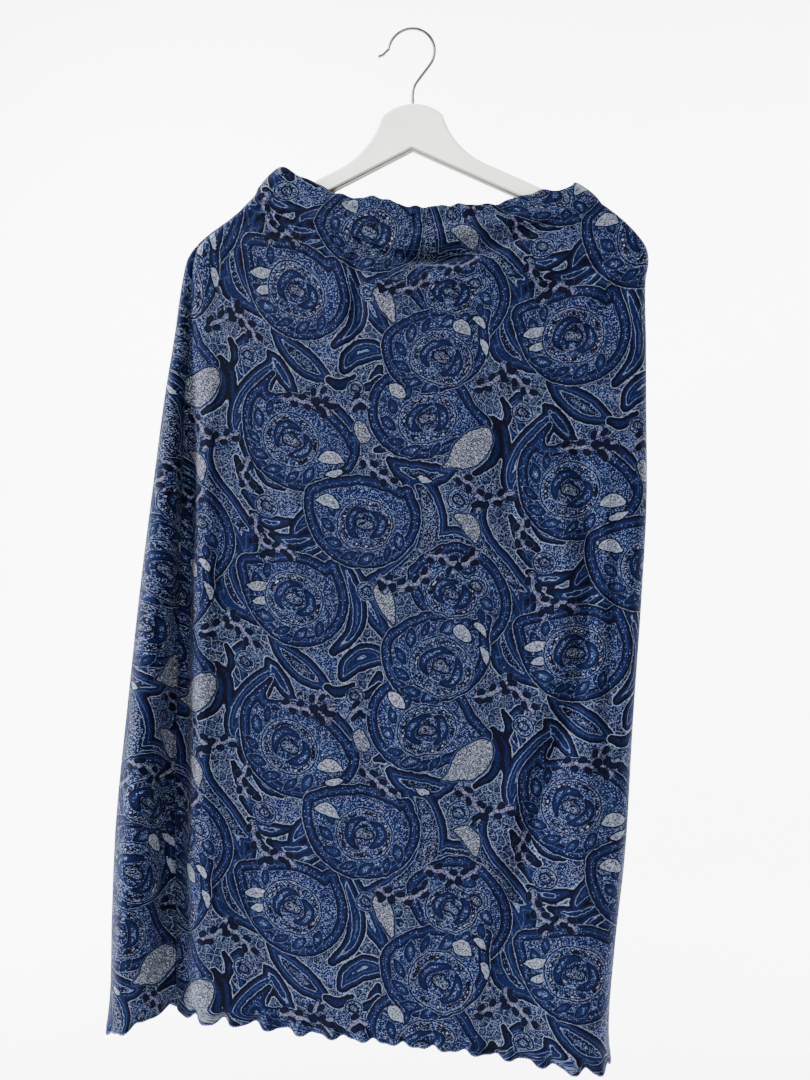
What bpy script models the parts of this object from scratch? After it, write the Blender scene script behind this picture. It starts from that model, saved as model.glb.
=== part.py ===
"""Long pull-on skirt of printed stretch jersey on a flat wooden hanger.

The frame is the hanger's hang point: the inside of the hook's top is the origin, X runs to the
right as the front is seen, Y runs to the back and Z up. Tables and sizes are in millimetres.

The cloth is one closed tube. Going round it, the place f runs from 0 at the right outline, over
the front, to 1 at the left outline, and over the back to 2. Going down it, v runs from 0 at the
waist seam to 1 at the hem.
"""

import math
from collections import namedtuple

import bmesh
import bpy
import numpy as np

MM = 0.001

# Cloth
WALL = 1.3
SEAM_GAP = 0.3
WAIST_GAP = 0.9  # along the cloth, between the two thick edges
SQUEEZE = 0.18  # how far the waist draws the cloth's lines together
SQUEEZE_REACH = 0.16  # share of the length over which they spread out again

# One row for each level of the body: outline, half depths, how far each side's rounding
# reaches in, and where the side seams lie from the outline
Section = namedtuple(
    "Section",
    "height left right mid_depth left_depth right_depth left_round right_round"
    " left_seam right_seam valley",
)
SECTIONS = [
    Section(-150, -140, 160, 13, 12, 12, 11, 11, 1, 1, 0),
    Section(-168, -158, 183, 13, 11, 11, 10, 10, 2, 2, 0),
    Section(-185, -176, 205, 12.5, 11, 11, 7, 7, 3, 3, 0),
    Section(-198, -193.5, 218, 12.5, 11, 11, 6, 6, 4, 4, 0),
    Section(-210, -207, 227, 12.5, 11, 11, 6, 6, 5, 5, 0),
    Section(-223, -216, 230, 12, 11, 11, 6.5, 6.5, 7, 6, 0.5),
    Section(-240, -220, 228, 12, 11.5, 11, 7.5, 7.5, 10, 8, 1.5),
    Section(-299, -227, 230, 12.5, 13, 12, 10, 8, 17, 15, 5),
    Section(-359, -235, 232, 13, 15, 13, 12, 9, 22, 22, 8),
    Section(-448, -244, 235, 14, 18, 14, 16, 10, 31, 32, 12),
    Section(-540, -253, 233, 15, 21, 15, 19, 11, 40, 42, 15),
    Section(-659, -262.5, 228.5, 17, 25, 18, 24, 12, 49, 54, 18),
    Section(-780, -271, 225, 19, 29, 22, 29, 13, 58, 65, 21),
    Section(-870, -272, 218, 21, 32, 25, 32, 14, 63, 72, 24),
    Section(-950, -271.5, 215, 22, 34, 28, 34, 15, 66, 78, 26),
    Section(-990, -275, 220, 23, 35, 29, 34, 15, 68, 82, 27),
]

# Heights round the waist and hem, across the tube from -1 at the left outline to 1 at the right
Level = namedtuple("Level", "across height")
WAIST_SEAM_FRONT = [
    Level(-1, -159),
    Level(-0.6, -183),
    Level(-0.26, -203),
    Level(-0.1, -213),
    Level(0.06, -214),
    Level(0.18, -207),
    Level(0.41, -194),
    Level(0.7, -184),
    Level(1, -168),
]
WAIST_SEAM_BACK = [
    Level(-1, -159),
    Level(-0.6, -184),
    Level(-0.2, -204),
    Level(0.15, -208),
    Level(0.45, -197),
    Level(0.7, -186),
    Level(1, -168),
]
WAIST_TOP_FRONT = [
    Level(-1, -130),
    Level(-0.78, -145),
    Level(-0.6, -158),
    Level(-0.46, -164.5),
    Level(-0.3, -164),
    Level(-0.1, -173),
    Level(0.25, -171.5),
    Level(0.47, -171),
    Level(0.62, -164),
    Level(0.76, -159),
    Level(0.9, -157),
    Level(1, -149),
]
WAIST_TOP_BACK = [
    Level(-1, -130),
    Level(-0.78, -146),
    Level(-0.5, -161),
    Level(-0.1, -171),
    Level(0.3, -172),
    Level(0.6, -166),
    Level(0.85, -158),
    Level(1, -149),
]
HEM_FRONT = [
    Level(-1, -972),
    Level(-0.93, -980),
    Level(-0.84, -975),
    Level(-0.72, -959),
    Level(-0.6, -962),
    Level(-0.45, -961),
    Level(-0.2, -965),
    Level(0.2, -967),
    Level(0.6, -972),
    Level(0.9, -976),
    Level(1, -971),
]
HEM_BACK = [
    Level(-1, -972),
    Level(-0.6, -970),
    Level(0, -965),
    Level(0.5, -968),
    Level(1, -971),
]

# One row for each long fold: crests have a positive rise, troughs a negative one
Fold = namedtuple("Fold", "side x_top x_hem width_top width_hem rise_top rise_hem from_height")
FOLDS = [
    Fold("front", -196, -176, 9, 22, 2.0, 5.5, -240),
    Fold("front", -90, -105, 30, 34, 0.0, -2.5, -420),
    Fold("front", 30, 22, 34, 40, 0.0, 2.0, -420),
    Fold("front", 128, 120, 26, 34, 0.0, -3.0, -480),
    Fold("front", 196, 182, 12, 22, 1.0, 4.0, -300),
    Fold("back", -190, -196, 12, 20, 0.0, -6.0, -280),
    Fold("back", -128, -138, 20, 30, 1.0, 9.0, -260),
    Fold("back", -58, -66, 22, 28, -1.0, -7.0, -260),
    Fold("back", 12, 6, 24, 32, 0.5, 8.0, -300),
    Fold("back", 84, 82, 20, 28, -1.0, -6.0, -260),
    Fold("back", 150, 156, 18, 26, 1.0, 9.0, -280),
]

FOLDS_GROWN_BY = 0.5  # share of its length by which a fold is fully formed

# Left flute: where it falls to the seam's valley, as shares of the seam's distance from the outline
FLUTE_FULL_TO = 0.6
FLUTE_GONE_AT = 1.5
FLUTE_GONE_EXTRA = 6
VALLEY_REACH_OUTER = 0.24
VALLEY_REACH_INNER = 0.36
VALLEY_LEAST_REACH = 2

# Across the front from the middle to the right, where the depth grows to the right side's
RIGHT_SIDE_FROM = 0.1
RIGHT_SIDE_FULL = 0.85

# Sagging fold across the front under the waistband, and the roll of cloth below it
SAG_TROUGH = 6.5
SAG_TROUGH_AT = 9
SAG_TROUGH_REACH = 10
SAG_ROLL = 4.0
SAG_ROLL_AT = 36
SAG_ROLL_REACH = 15
SAG_CENTRE = -0.02
SAG_HALF_SPAN = 0.5
SAG_BACK_SHARE = 0.5

# Lettuce edge: small waves of a stretched, rolled hem
LETTUCE_WAVES = 38
LETTUCE_DEPTH = 3.4
LETTUCE_DROP = 2.0
LETTUCE_REACH = 15
LETTUCE_DRIFTS = ((1.1, 5.1, 0), (0.7, 13.3, 1))  # uneven spacing: radians, rate round the hem, start

# Waistband casing
CASING_TOP_LEFT = -125.5
CASING_TOP_RIGHT = 158
CASING_TOP_DEPTH = 11.5
CASING_TOP_ROUND = 9
CASING_EDGE = 1.6
CASING_PUFF = 2.2
CASING_BULGE = 1.6
CASING_STATIONS = 96
# Cross-section of the casing: share of its height and share of its puffed thickness
CASING_PROFILE = [(0, 0.25), (0.12, 0.8), (0.4, 1), (0.7, 0.95), (0.9, 0.6), (1, 0.12)]

# Mesh of the panels
# Columns between the places that each panel's columns keep to, doubled at the hem
FRONT_COLUMNS = (7, 3, 40)
BACK_COLUMNS = (8, 5, 38)
ROWS = [0, 0.009, 0.02, 0.034, 0.05, 0.07, 0.1, 0.145, 0.21, 0.3, 0.4, 0.52, 0.64, 0.76, 0.88, 0.955]
HEM_ROWS = [0.981, 0.991, 1]

# Hanger
HANGER_TILT = 1.5  # degrees, left end down
HANGER_THICKNESS = 13.5
HANGER_HALF_SPAN = 203
HANGER_EDGE_ROUND = 2.4
HANGER_TOP = -73
CROWN_RADIUS = 43.7
CROWN_HALF_WIDTH = 29
NECK_START = (30.2, -86.5)
NECK_HEADING = -72
NECK_RADIUS = 78.3
ARM_SLOPE = 25.6
APEX = -117
ARM_DEPTH = 16.6
ARM_END_ROUND = 17
ARM_TIP_ROUND = 4

# Hook
WIRE_RADIUS = 1.6
LOOP_CENTRE = (-1.5, -21)
LOOP_RADIUS = 22.5
LOOP_START = 172
LOOP_END = -38
TIP = [(-34, -24.5), (-29.5, -23)]
STEM_SEATED = 14
STEM_BEND = 7
BORE_CLEARANCE = 0.35


def clear_scene():
    for obj in list(bpy.data.objects):
        bpy.data.objects.remove(obj, do_unlink=True)


def material(name, colour, roughness, metallic=0.0):
    made = bpy.data.materials.new(name)
    made.use_nodes = True
    shader = made.node_tree.nodes["Principled BSDF"]
    shader.inputs["Base Color"].default_value = (*colour, 1)
    shader.inputs["Roughness"].default_value = roughness
    shader.inputs["Metallic"].default_value = metallic
    return made


def new_object(name, vertices, faces, finish):
    mesh = bpy.data.meshes.new(name)
    mesh.from_pydata([tuple(v) for v in vertices], [], faces)
    mesh.update()
    mesh.materials.append(finish)
    obj = bpy.data.objects.new(name, mesh)
    bpy.context.scene.collection.objects.link(obj)
    return obj


def face_outwards(obj):
    mesh = bmesh.new()
    mesh.from_mesh(obj.data)
    bmesh.ops.recalc_face_normals(mesh, faces=mesh.faces)
    mesh.to_mesh(obj.data)
    mesh.free()
    obj.data.shade_smooth()
    obj.data.set_sharp_from_angle(angle=math.radians(50))


def ease(low, high, at):
    """Goes smoothly from 0 at low to 1 at high."""
    share = np.clip((at - low) / (high - low), 0, 1)
    return share * share * (3 - 2 * share)


def through(knots, values, at):
    """Smooth curve through the knots, with each knot's slope the mean of its two sides."""
    knots = np.asarray(knots, float)
    values = np.asarray(values, float)
    steps = np.diff(knots)
    slopes = np.diff(values) / steps
    tangents = np.concatenate([slopes[:1], (slopes[1:] + slopes[:-1]) / 2, slopes[-1:]])
    at = np.clip(at, knots[0], knots[-1])
    left = np.clip(np.searchsorted(knots, at) - 1, 0, len(steps) - 1)
    step = steps[left]
    t = (at - knots[left]) / step
    return (
        (2 * t**3 - 3 * t**2 + 1) * values[left]
        + (t**3 - 2 * t**2 + t) * step * tangents[left]
        + (3 * t**2 - 2 * t**3) * values[left + 1]
        + (t**3 - t**2) * step * tangents[left + 1]
    )


def section_value(column, height):
    rows = SECTIONS[::-1]
    return through([row.height for row in rows], [getattr(row, column) for row in rows], height)


def level(table, across):
    return through([row.across for row in table], [row.height for row in table], across)


def either_side(f, front_table, back_table, across):
    return np.where(f_is_front(f), level(front_table, across), level(back_table, across))


def f_is_front(f):
    return np.mod(f, 2) < 1


def place_across(f):
    """Place from -1 at the left outline to 1 at the right, the same on the front and the back."""
    f = np.mod(f, 2)
    return 1 - 2 * np.where(f < 1, f, 2 - f)


def quarter_length(a, b):
    return math.pi / 2 * np.sqrt((a * a + b * b) / 2)


def oval(across, left, right, left_depth, right_depth, left_round, right_round):
    """Flattened oval: x, and how far the wall stands from the middle, as a share of its depth.

    Each end is a quarter of an ellipse and the stretch between them is flat, walked evenly."""
    right_end = quarter_length(right_round, right_depth)
    left_end = quarter_length(left_round, left_depth)
    flat = right - left - left_round - right_round
    walked = (1 - across) / 2 * (right_end + flat + left_end)
    from_left = right_end + flat + left_end - walked
    right_angle = math.pi / 2 * np.clip(walked / right_end, 0, 1)
    left_angle = math.pi / 2 * np.clip(from_left / left_end, 0, 1)
    x = right - right_round - (walked - right_end)
    x = np.where(walked < right_end, right - right_round + right_round * np.cos(right_angle), x)
    x = np.where(from_left < left_end, left + left_round - left_round * np.cos(left_angle), x)
    return x, np.minimum(np.sin(right_angle), np.sin(left_angle))


def bump(distance, reach):
    return np.exp(-((distance / reach) ** 2))


def fold_rise(side, x, height):
    """Sum of the long folds on one side, each a soft ridge that grows from its start to the hem."""
    rise = np.zeros_like(x)
    for fold in FOLDS:
        if fold.side != side:
            continue
        down = np.clip((fold.from_height - height) / (fold.from_height - SECTIONS[-1].height), 0, 1)
        grown = ease(0, FOLDS_GROWN_BY, down)
        grown = grown * (fold.rise_top + (fold.rise_hem - fold.rise_top) * down)
        middle = fold.x_top + (fold.x_hem - fold.x_top) * down
        width = fold.width_top + (fold.width_hem - fold.width_top) * down
        rise += grown * bump(x - middle, width)
    return rise


def lettuce_phase(f):
    phase = math.pi * LETTUCE_WAVES * f
    for size, rate, start in LETTUCE_DRIFTS:
        phase = phase + size * np.sin(rate * f + start)
    return phase


def waist_across(f):
    across = place_across(f)
    return across * (1 - SQUEEZE * (1 - across**2))


def body_point(f, v):
    """Middle of the cloth at place f round the tube and share v of the way down."""
    f, v = np.broadcast_arrays(np.asarray(f, float), np.asarray(v, float))
    front = f_is_front(f)
    across = place_across(f)
    top = either_side(f, WAIST_SEAM_FRONT, WAIST_SEAM_BACK, waist_across(f))
    hem = either_side(f, HEM_FRONT, HEM_BACK, across)
    height = top + (hem - top) * v
    spread = ease(0, SQUEEZE_REACH, v)
    across = across * (1 - SQUEEZE * (1 - across**2) * (1 - spread))
    row = {name: section_value(name, height) for name in Section._fields[1:]}
    x, share = oval(
        across,
        row["left"],
        row["right"],
        row["left_depth"],
        row["right_depth"],
        row["left_round"],
        row["right_round"],
    )
    flute_gone = row["left"] + FLUTE_GONE_AT * row["left_seam"] + FLUTE_GONE_EXTRA
    lobe = ease(flute_gone, row["left"] + FLUTE_FULL_TO * row["left_seam"], x)
    right_side = ease(RIGHT_SIDE_FROM, RIGHT_SIDE_FULL, across)
    depth = row["mid_depth"] + (row["left_depth"] - row["mid_depth"]) * lobe
    depth = depth + (row["right_depth"] - row["mid_depth"]) * right_side
    rise = np.where(front, fold_rise("front", x, height), fold_rise("back", x, height))
    from_seam = x - row["left"] - row["left_seam"]
    valley_share = np.where(from_seam < 0, VALLEY_REACH_OUTER, VALLEY_REACH_INNER)
    valley_reach = valley_share * row["left_seam"] + VALLEY_LEAST_REACH
    rise = rise - np.where(front, row["valley"] * bump(from_seam, valley_reach), 0)
    below_seam = top - height
    sag = bump(across - SAG_CENTRE, SAG_HALF_SPAN) * np.where(front, 1, SAG_BACK_SHARE)
    rise = rise - SAG_TROUGH * sag * bump(below_seam - SAG_TROUGH_AT, SAG_TROUGH_REACH)
    rise = rise + SAG_ROLL * sag * bump(below_seam - SAG_ROLL_AT, SAG_ROLL_REACH)
    wave = ease(LETTUCE_REACH, 0, height - hem)
    rise = rise + LETTUCE_DEPTH * wave * np.sin(lettuce_phase(f))
    height = height - LETTUCE_DROP * wave * np.sin(lettuce_phase(f))
    y = np.where(front, -1, 1) * (depth + rise) * share
    return np.stack([x, y, height], axis=-1)


def casing_top_point(f):
    across = waist_across(f)
    x, share = oval(
        across,
        CASING_TOP_LEFT,
        CASING_TOP_RIGHT,
        CASING_TOP_DEPTH,
        CASING_TOP_DEPTH,
        CASING_TOP_ROUND,
        CASING_TOP_ROUND,
    )
    height = either_side(f, WAIST_TOP_FRONT, WAIST_TOP_BACK, across)
    y = np.where(f_is_front(f), -1, 1) * CASING_TOP_DEPTH * share
    return np.stack([x, y, height], axis=-1)


def unit(vectors):
    return vectors / np.linalg.norm(vectors, axis=-1, keepdims=True)


def outward(f, v):
    """Direction out of the cloth, from the tube's own slopes."""
    step = 1e-3
    down = body_point(f, np.minimum(v + step, 1)) - body_point(f, np.maximum(v - step, 0))
    along = body_point(f + step, v) - body_point(f - step, v)
    return unit(np.cross(down, along))


def seam_place(v, column, side):
    """A side seam at share v: its walk from that outline, half its gap, and the walk round that
    end, each as a share of the half girth."""
    top = level(WAIST_SEAM_FRONT, side)
    hem = level(HEM_FRONT, side)
    height = top + (hem - top) * v
    row = {name: section_value(name, height) for name in Section._fields[1:]}
    right_end = quarter_length(row["right_round"], row["right_depth"])
    left_end = quarter_length(row["left_round"], row["left_depth"])
    half_girth = right_end + left_end + row["right"] - row["left"]
    half_girth = half_girth - row["left_round"] - row["right_round"]
    end = left_end if side < 0 else right_end
    end_round = row["left_round"] if side < 0 else row["right_round"]
    inset = row[column]
    round_share = np.clip(inset / end_round, 0, 1)
    walked = np.where(inset > end_round, end + inset - end_round, end * round_share)
    return walked / half_girth, SEAM_GAP / 2 / half_girth, end / half_girth


def front_places(v):
    """Places of the front's columns: from the right seam round the right edge, then over to the left seam."""
    left, left_gap, _ = seam_place(v, "left_seam", -1)
    right, right_gap, edge = seam_place(v, "right_seam", 1)
    return [-right + right_gap, 0, edge, 1 - left - left_gap], FRONT_COLUMNS


def back_places(v):
    """Places of the back's columns: from the left seam round the flute, then over to the right seam."""
    left, left_gap, edge = seam_place(v, "left_seam", -1)
    right, right_gap, _ = seam_place(v, "right_seam", 1)
    return [1 - left + left_gap, 1, 1 + edge, 2 - right - right_gap], BACK_COLUMNS


def panel(name, places, finish):
    """One cloth panel: rows of points on both faces of the wall, with twice the columns at the hem."""
    vertices = []
    rows = []
    for v in ROWS + HEM_ROWS:
        anchors, counts = places(np.asarray(float(v)))
        columns = np.linspace(0, sum(counts), sum(counts) * (2 if v in HEM_ROWS else 1) + 1)
        f = np.interp(columns, np.cumsum([0, *counts]), np.array(anchors, float))
        middle = body_point(f, v)
        if v == 0:
            middle += WAIST_GAP / 2 * unit(body_point(f, ROWS[1]) - middle)
        normal = outward(f, np.full_like(f, v))
        faces_of_wall = []
        for side in (0.5, -0.5):
            first = len(vertices)
            vertices.extend((middle + side * WALL * normal) * MM)
            faces_of_wall.append(list(range(first, len(vertices))))
        rows.append(faces_of_wall)
    faces = []
    for upper, lower in zip(rows, rows[1:]):
        for wall_side in (0, 1):
            top_row = upper[wall_side]
            low_row = lower[wall_side]
            ratio = (len(low_row) - 1) // (len(top_row) - 1)
            for k in range(len(top_row) - 1):
                low = [low_row[k * ratio + j] for j in range(ratio + 1)]
                face = [top_row[k], *low, top_row[k + 1]]
                faces.append(face if wall_side == 0 else face[::-1])
        for end in (0, -1):
            faces.append([upper[0][end], lower[0][end], lower[1][end], upper[1][end]])
    for row in (rows[0], rows[-1]):
        for k in range(len(row[0]) - 1):
            faces.append([row[0][k], row[0][k + 1], row[1][k + 1], row[1][k]])
    obj = new_object(name, vertices, faces, finish)
    face_outwards(obj)
    return obj


def waistband(finish):
    """Ring with a puffed cross-section, from the waist seam up to the folded top edge."""
    f = np.arange(CASING_STATIONS) * 2 / CASING_STATIONS
    low = body_point(f, 0.0)
    high = casing_top_point(f)
    low += WAIST_GAP / 2 * unit(high - low)
    along = unit(np.roll(low, -1, axis=0) - np.roll(low, 1, axis=0))
    normal = unit(np.cross(unit(low - high), along))
    loop = [(share, 1, puff) for share, puff in CASING_PROFILE]
    loop += [(share, -1, puff) for share, puff in reversed(CASING_PROFILE)]
    vertices = []
    for share, side, puff in loop:
        half = CASING_EDGE / 2 + CASING_PUFF / 2 * puff
        out = side * half + CASING_BULGE * math.sin(math.pi * share)
        vertices.extend((low + (high - low) * share + out * normal) * MM)
    faces = []
    n = CASING_STATIONS
    for a in range(len(loop)):
        b = (a + 1) % len(loop)
        for k in range(n):
            j = (k + 1) % n
            faces.append([a * n + k, a * n + j, b * n + j, b * n + k])
    obj = new_object("waistband", vertices, faces, finish)
    face_outwards(obj)
    return obj


def arc(centre, radius, start, end, count):
    angles = np.radians(np.linspace(start, end, count))
    return [(centre[0] + radius * math.cos(a), centre[1] + radius * math.sin(a)) for a in angles]


def hanger_half_outline():
    """Right half of the hanger's outline, from the top of its crown to the apex under it."""
    crown_centre = (0, HANGER_TOP - CROWN_RADIUS)
    crown_end = math.degrees(math.acos(CROWN_HALF_WIDTH / CROWN_RADIUS))
    points = arc(crown_centre, CROWN_RADIUS, 90, crown_end, 8)
    heading = math.radians(NECK_HEADING)
    neck_centre = (
        NECK_START[0] - NECK_RADIUS * math.sin(heading),
        NECK_START[1] + NECK_RADIUS * math.cos(heading),
    )
    points += arc(neck_centre, NECK_RADIUS, NECK_HEADING + 270, 270 - ARM_SLOPE, 9)
    slope = math.tan(math.radians(ARM_SLOPE))
    across_arm = 1 / math.cos(math.radians(ARM_SLOPE))
    end_x = HANGER_HALF_SPAN - ARM_END_ROUND
    end_z = APEX - slope * end_x + (ARM_DEPTH - ARM_END_ROUND) * across_arm
    points += arc((end_x, end_z), ARM_END_ROUND, 90 - ARM_SLOPE, 0, 7)
    tip_x = HANGER_HALF_SPAN - ARM_TIP_ROUND
    tip_z = APEX - slope * tip_x + ARM_TIP_ROUND * across_arm
    points += arc((tip_x, tip_z), ARM_TIP_ROUND, 0, -90 - ARM_SLOPE, 5)
    points.append((0, APEX))
    return points


def hanger_body(finish, tilt):
    half = hanger_half_outline()
    outline = half + [(-x, z) for x, z in half[-2:0:-1]]
    mesh = bmesh.new()
    front = [mesh.verts.new((x * MM, -HANGER_THICKNESS / 2 * MM, z * MM)) for x, z in outline]
    face = mesh.faces.new(front)
    moved = bmesh.ops.extrude_face_region(mesh, geom=[face])
    new_vertices = [item for item in moved["geom"] if isinstance(item, bmesh.types.BMVert)]
    bmesh.ops.translate(mesh, verts=new_vertices, vec=(0, HANGER_THICKNESS * MM, 0))
    bmesh.ops.recalc_face_normals(mesh, faces=mesh.faces)
    data = bpy.data.meshes.new("hanger_body")
    mesh.to_mesh(data)
    mesh.free()
    data.materials.append(finish)
    obj = bpy.data.objects.new("hanger_body", data)
    bpy.context.scene.collection.objects.link(obj)
    obj.rotation_euler = (0, tilt, 0)
    soften = obj.modifiers.new("soft_edges", "BEVEL")
    soften.width = HANGER_EDGE_ROUND * MM
    soften.segments = 2
    soften.limit_method = "ANGLE"
    soften.angle_limit = math.radians(60)
    bore = obj.modifiers.new("stem_bore", "BOOLEAN")
    bore.operation = "DIFFERENCE"
    bore.solver = "EXACT"
    bore.object = stem_cutter(tilt)
    obj.data.shade_smooth()
    obj.data.set_sharp_from_angle(angle=math.radians(40))
    return obj


def stem_cutter(tilt):
    """Blind hole in the top of the crown that the hook's stem is seated in."""
    depth = STEM_SEATED + 1
    above = 6
    mesh = bmesh.new()
    bmesh.ops.create_cone(
        mesh,
        cap_ends=True,
        segments=16,
        radius1=(WIRE_RADIUS + BORE_CLEARANCE) * MM,
        radius2=(WIRE_RADIUS + BORE_CLEARANCE) * MM,
        depth=(depth + above) * MM,
    )
    bmesh.ops.translate(mesh, verts=mesh.verts, vec=(0, 0, (HANGER_TOP + (above - depth) / 2) * MM))
    data = bpy.data.meshes.new("stem_cutter")
    mesh.to_mesh(data)
    mesh.free()
    cutter = bpy.data.objects.new("stem_cutter", data)
    bpy.context.scene.collection.objects.link(cutter)
    cutter.rotation_euler = (0, tilt, 0)
    cutter.hide_render = True
    cutter.display_type = "WIRE"
    return cutter


def hook_route():
    """Tip, loop, slanted neck, rounded bend and straight stem of the wire."""
    route = list(TIP)
    route += arc(LOOP_CENTRE, LOOP_RADIUS, LOOP_START, LOOP_END, 22)
    end_x, end_z = route[-1]
    heading = math.radians(LOOP_END - 90)
    to_axis = -end_x / math.cos(heading)
    corner_z = end_z + to_axis * math.sin(heading)
    before = (-STEM_BEND * math.cos(heading), corner_z - STEM_BEND * math.sin(heading))
    after = (0, corner_z - STEM_BEND)
    for t in np.linspace(0, 1, 6):
        route.append(
            (
                (1 - t) ** 2 * before[0] + t**2 * after[0],
                (1 - t) ** 2 * before[1] + 2 * t * (1 - t) * corner_z + t**2 * after[1],
            )
        )
    route.append((0, HANGER_TOP - STEM_SEATED))
    return route


def hanger_hook(finish, tilt):
    curve = bpy.data.curves.new("hanger_hook", "CURVE")
    curve.dimensions = "3D"
    curve.bevel_depth = WIRE_RADIUS * MM
    curve.bevel_resolution = 2
    curve.use_fill_caps = True
    route = hook_route()
    spline = curve.splines.new("POLY")
    spline.points.add(len(route) - 1)
    for point, (x, z) in zip(spline.points, route):
        point.co = (x * MM, 0, z * MM, 1)
    spline.use_smooth = True
    curve.materials.append(finish)
    obj = bpy.data.objects.new("hanger_hook", curve)
    bpy.context.scene.collection.objects.link(obj)
    obj.rotation_euler = (0, tilt, 0)
    return obj


def main():
    clear_scene()
    jersey = material("printed_jersey", (0.035, 0.06, 0.2), 0.72)
    casing = material("printed_casing", (0.03, 0.055, 0.18), 0.72)
    paint = material("white_paint", (0.8, 0.79, 0.76), 0.45)
    steel = material("brushed_steel", (0.55, 0.55, 0.56), 0.35, 1.0)
    tilt = math.radians(-HANGER_TILT)
    panel("skirt_front", front_places, jersey)
    panel("skirt_back", back_places, jersey)
    waistband(casing)
    hanger_body(paint, tilt)
    hanger_hook(steel, tilt)


main()
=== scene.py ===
import math

import bpy
import numpy as np
from mathutils import Matrix


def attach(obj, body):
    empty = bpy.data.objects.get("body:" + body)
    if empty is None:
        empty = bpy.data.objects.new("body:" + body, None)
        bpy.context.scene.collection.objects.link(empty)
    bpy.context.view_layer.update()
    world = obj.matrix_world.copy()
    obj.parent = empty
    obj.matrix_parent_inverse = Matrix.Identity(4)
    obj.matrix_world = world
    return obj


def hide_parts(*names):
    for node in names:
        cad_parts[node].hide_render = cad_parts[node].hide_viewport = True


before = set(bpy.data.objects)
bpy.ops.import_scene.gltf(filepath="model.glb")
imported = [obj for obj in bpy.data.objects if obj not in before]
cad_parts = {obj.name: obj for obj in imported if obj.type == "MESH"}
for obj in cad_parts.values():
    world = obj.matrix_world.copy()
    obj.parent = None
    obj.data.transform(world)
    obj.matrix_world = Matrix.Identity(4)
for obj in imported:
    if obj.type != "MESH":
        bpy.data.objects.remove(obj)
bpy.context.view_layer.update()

print("frame loaded")

mm = 0.001

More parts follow.
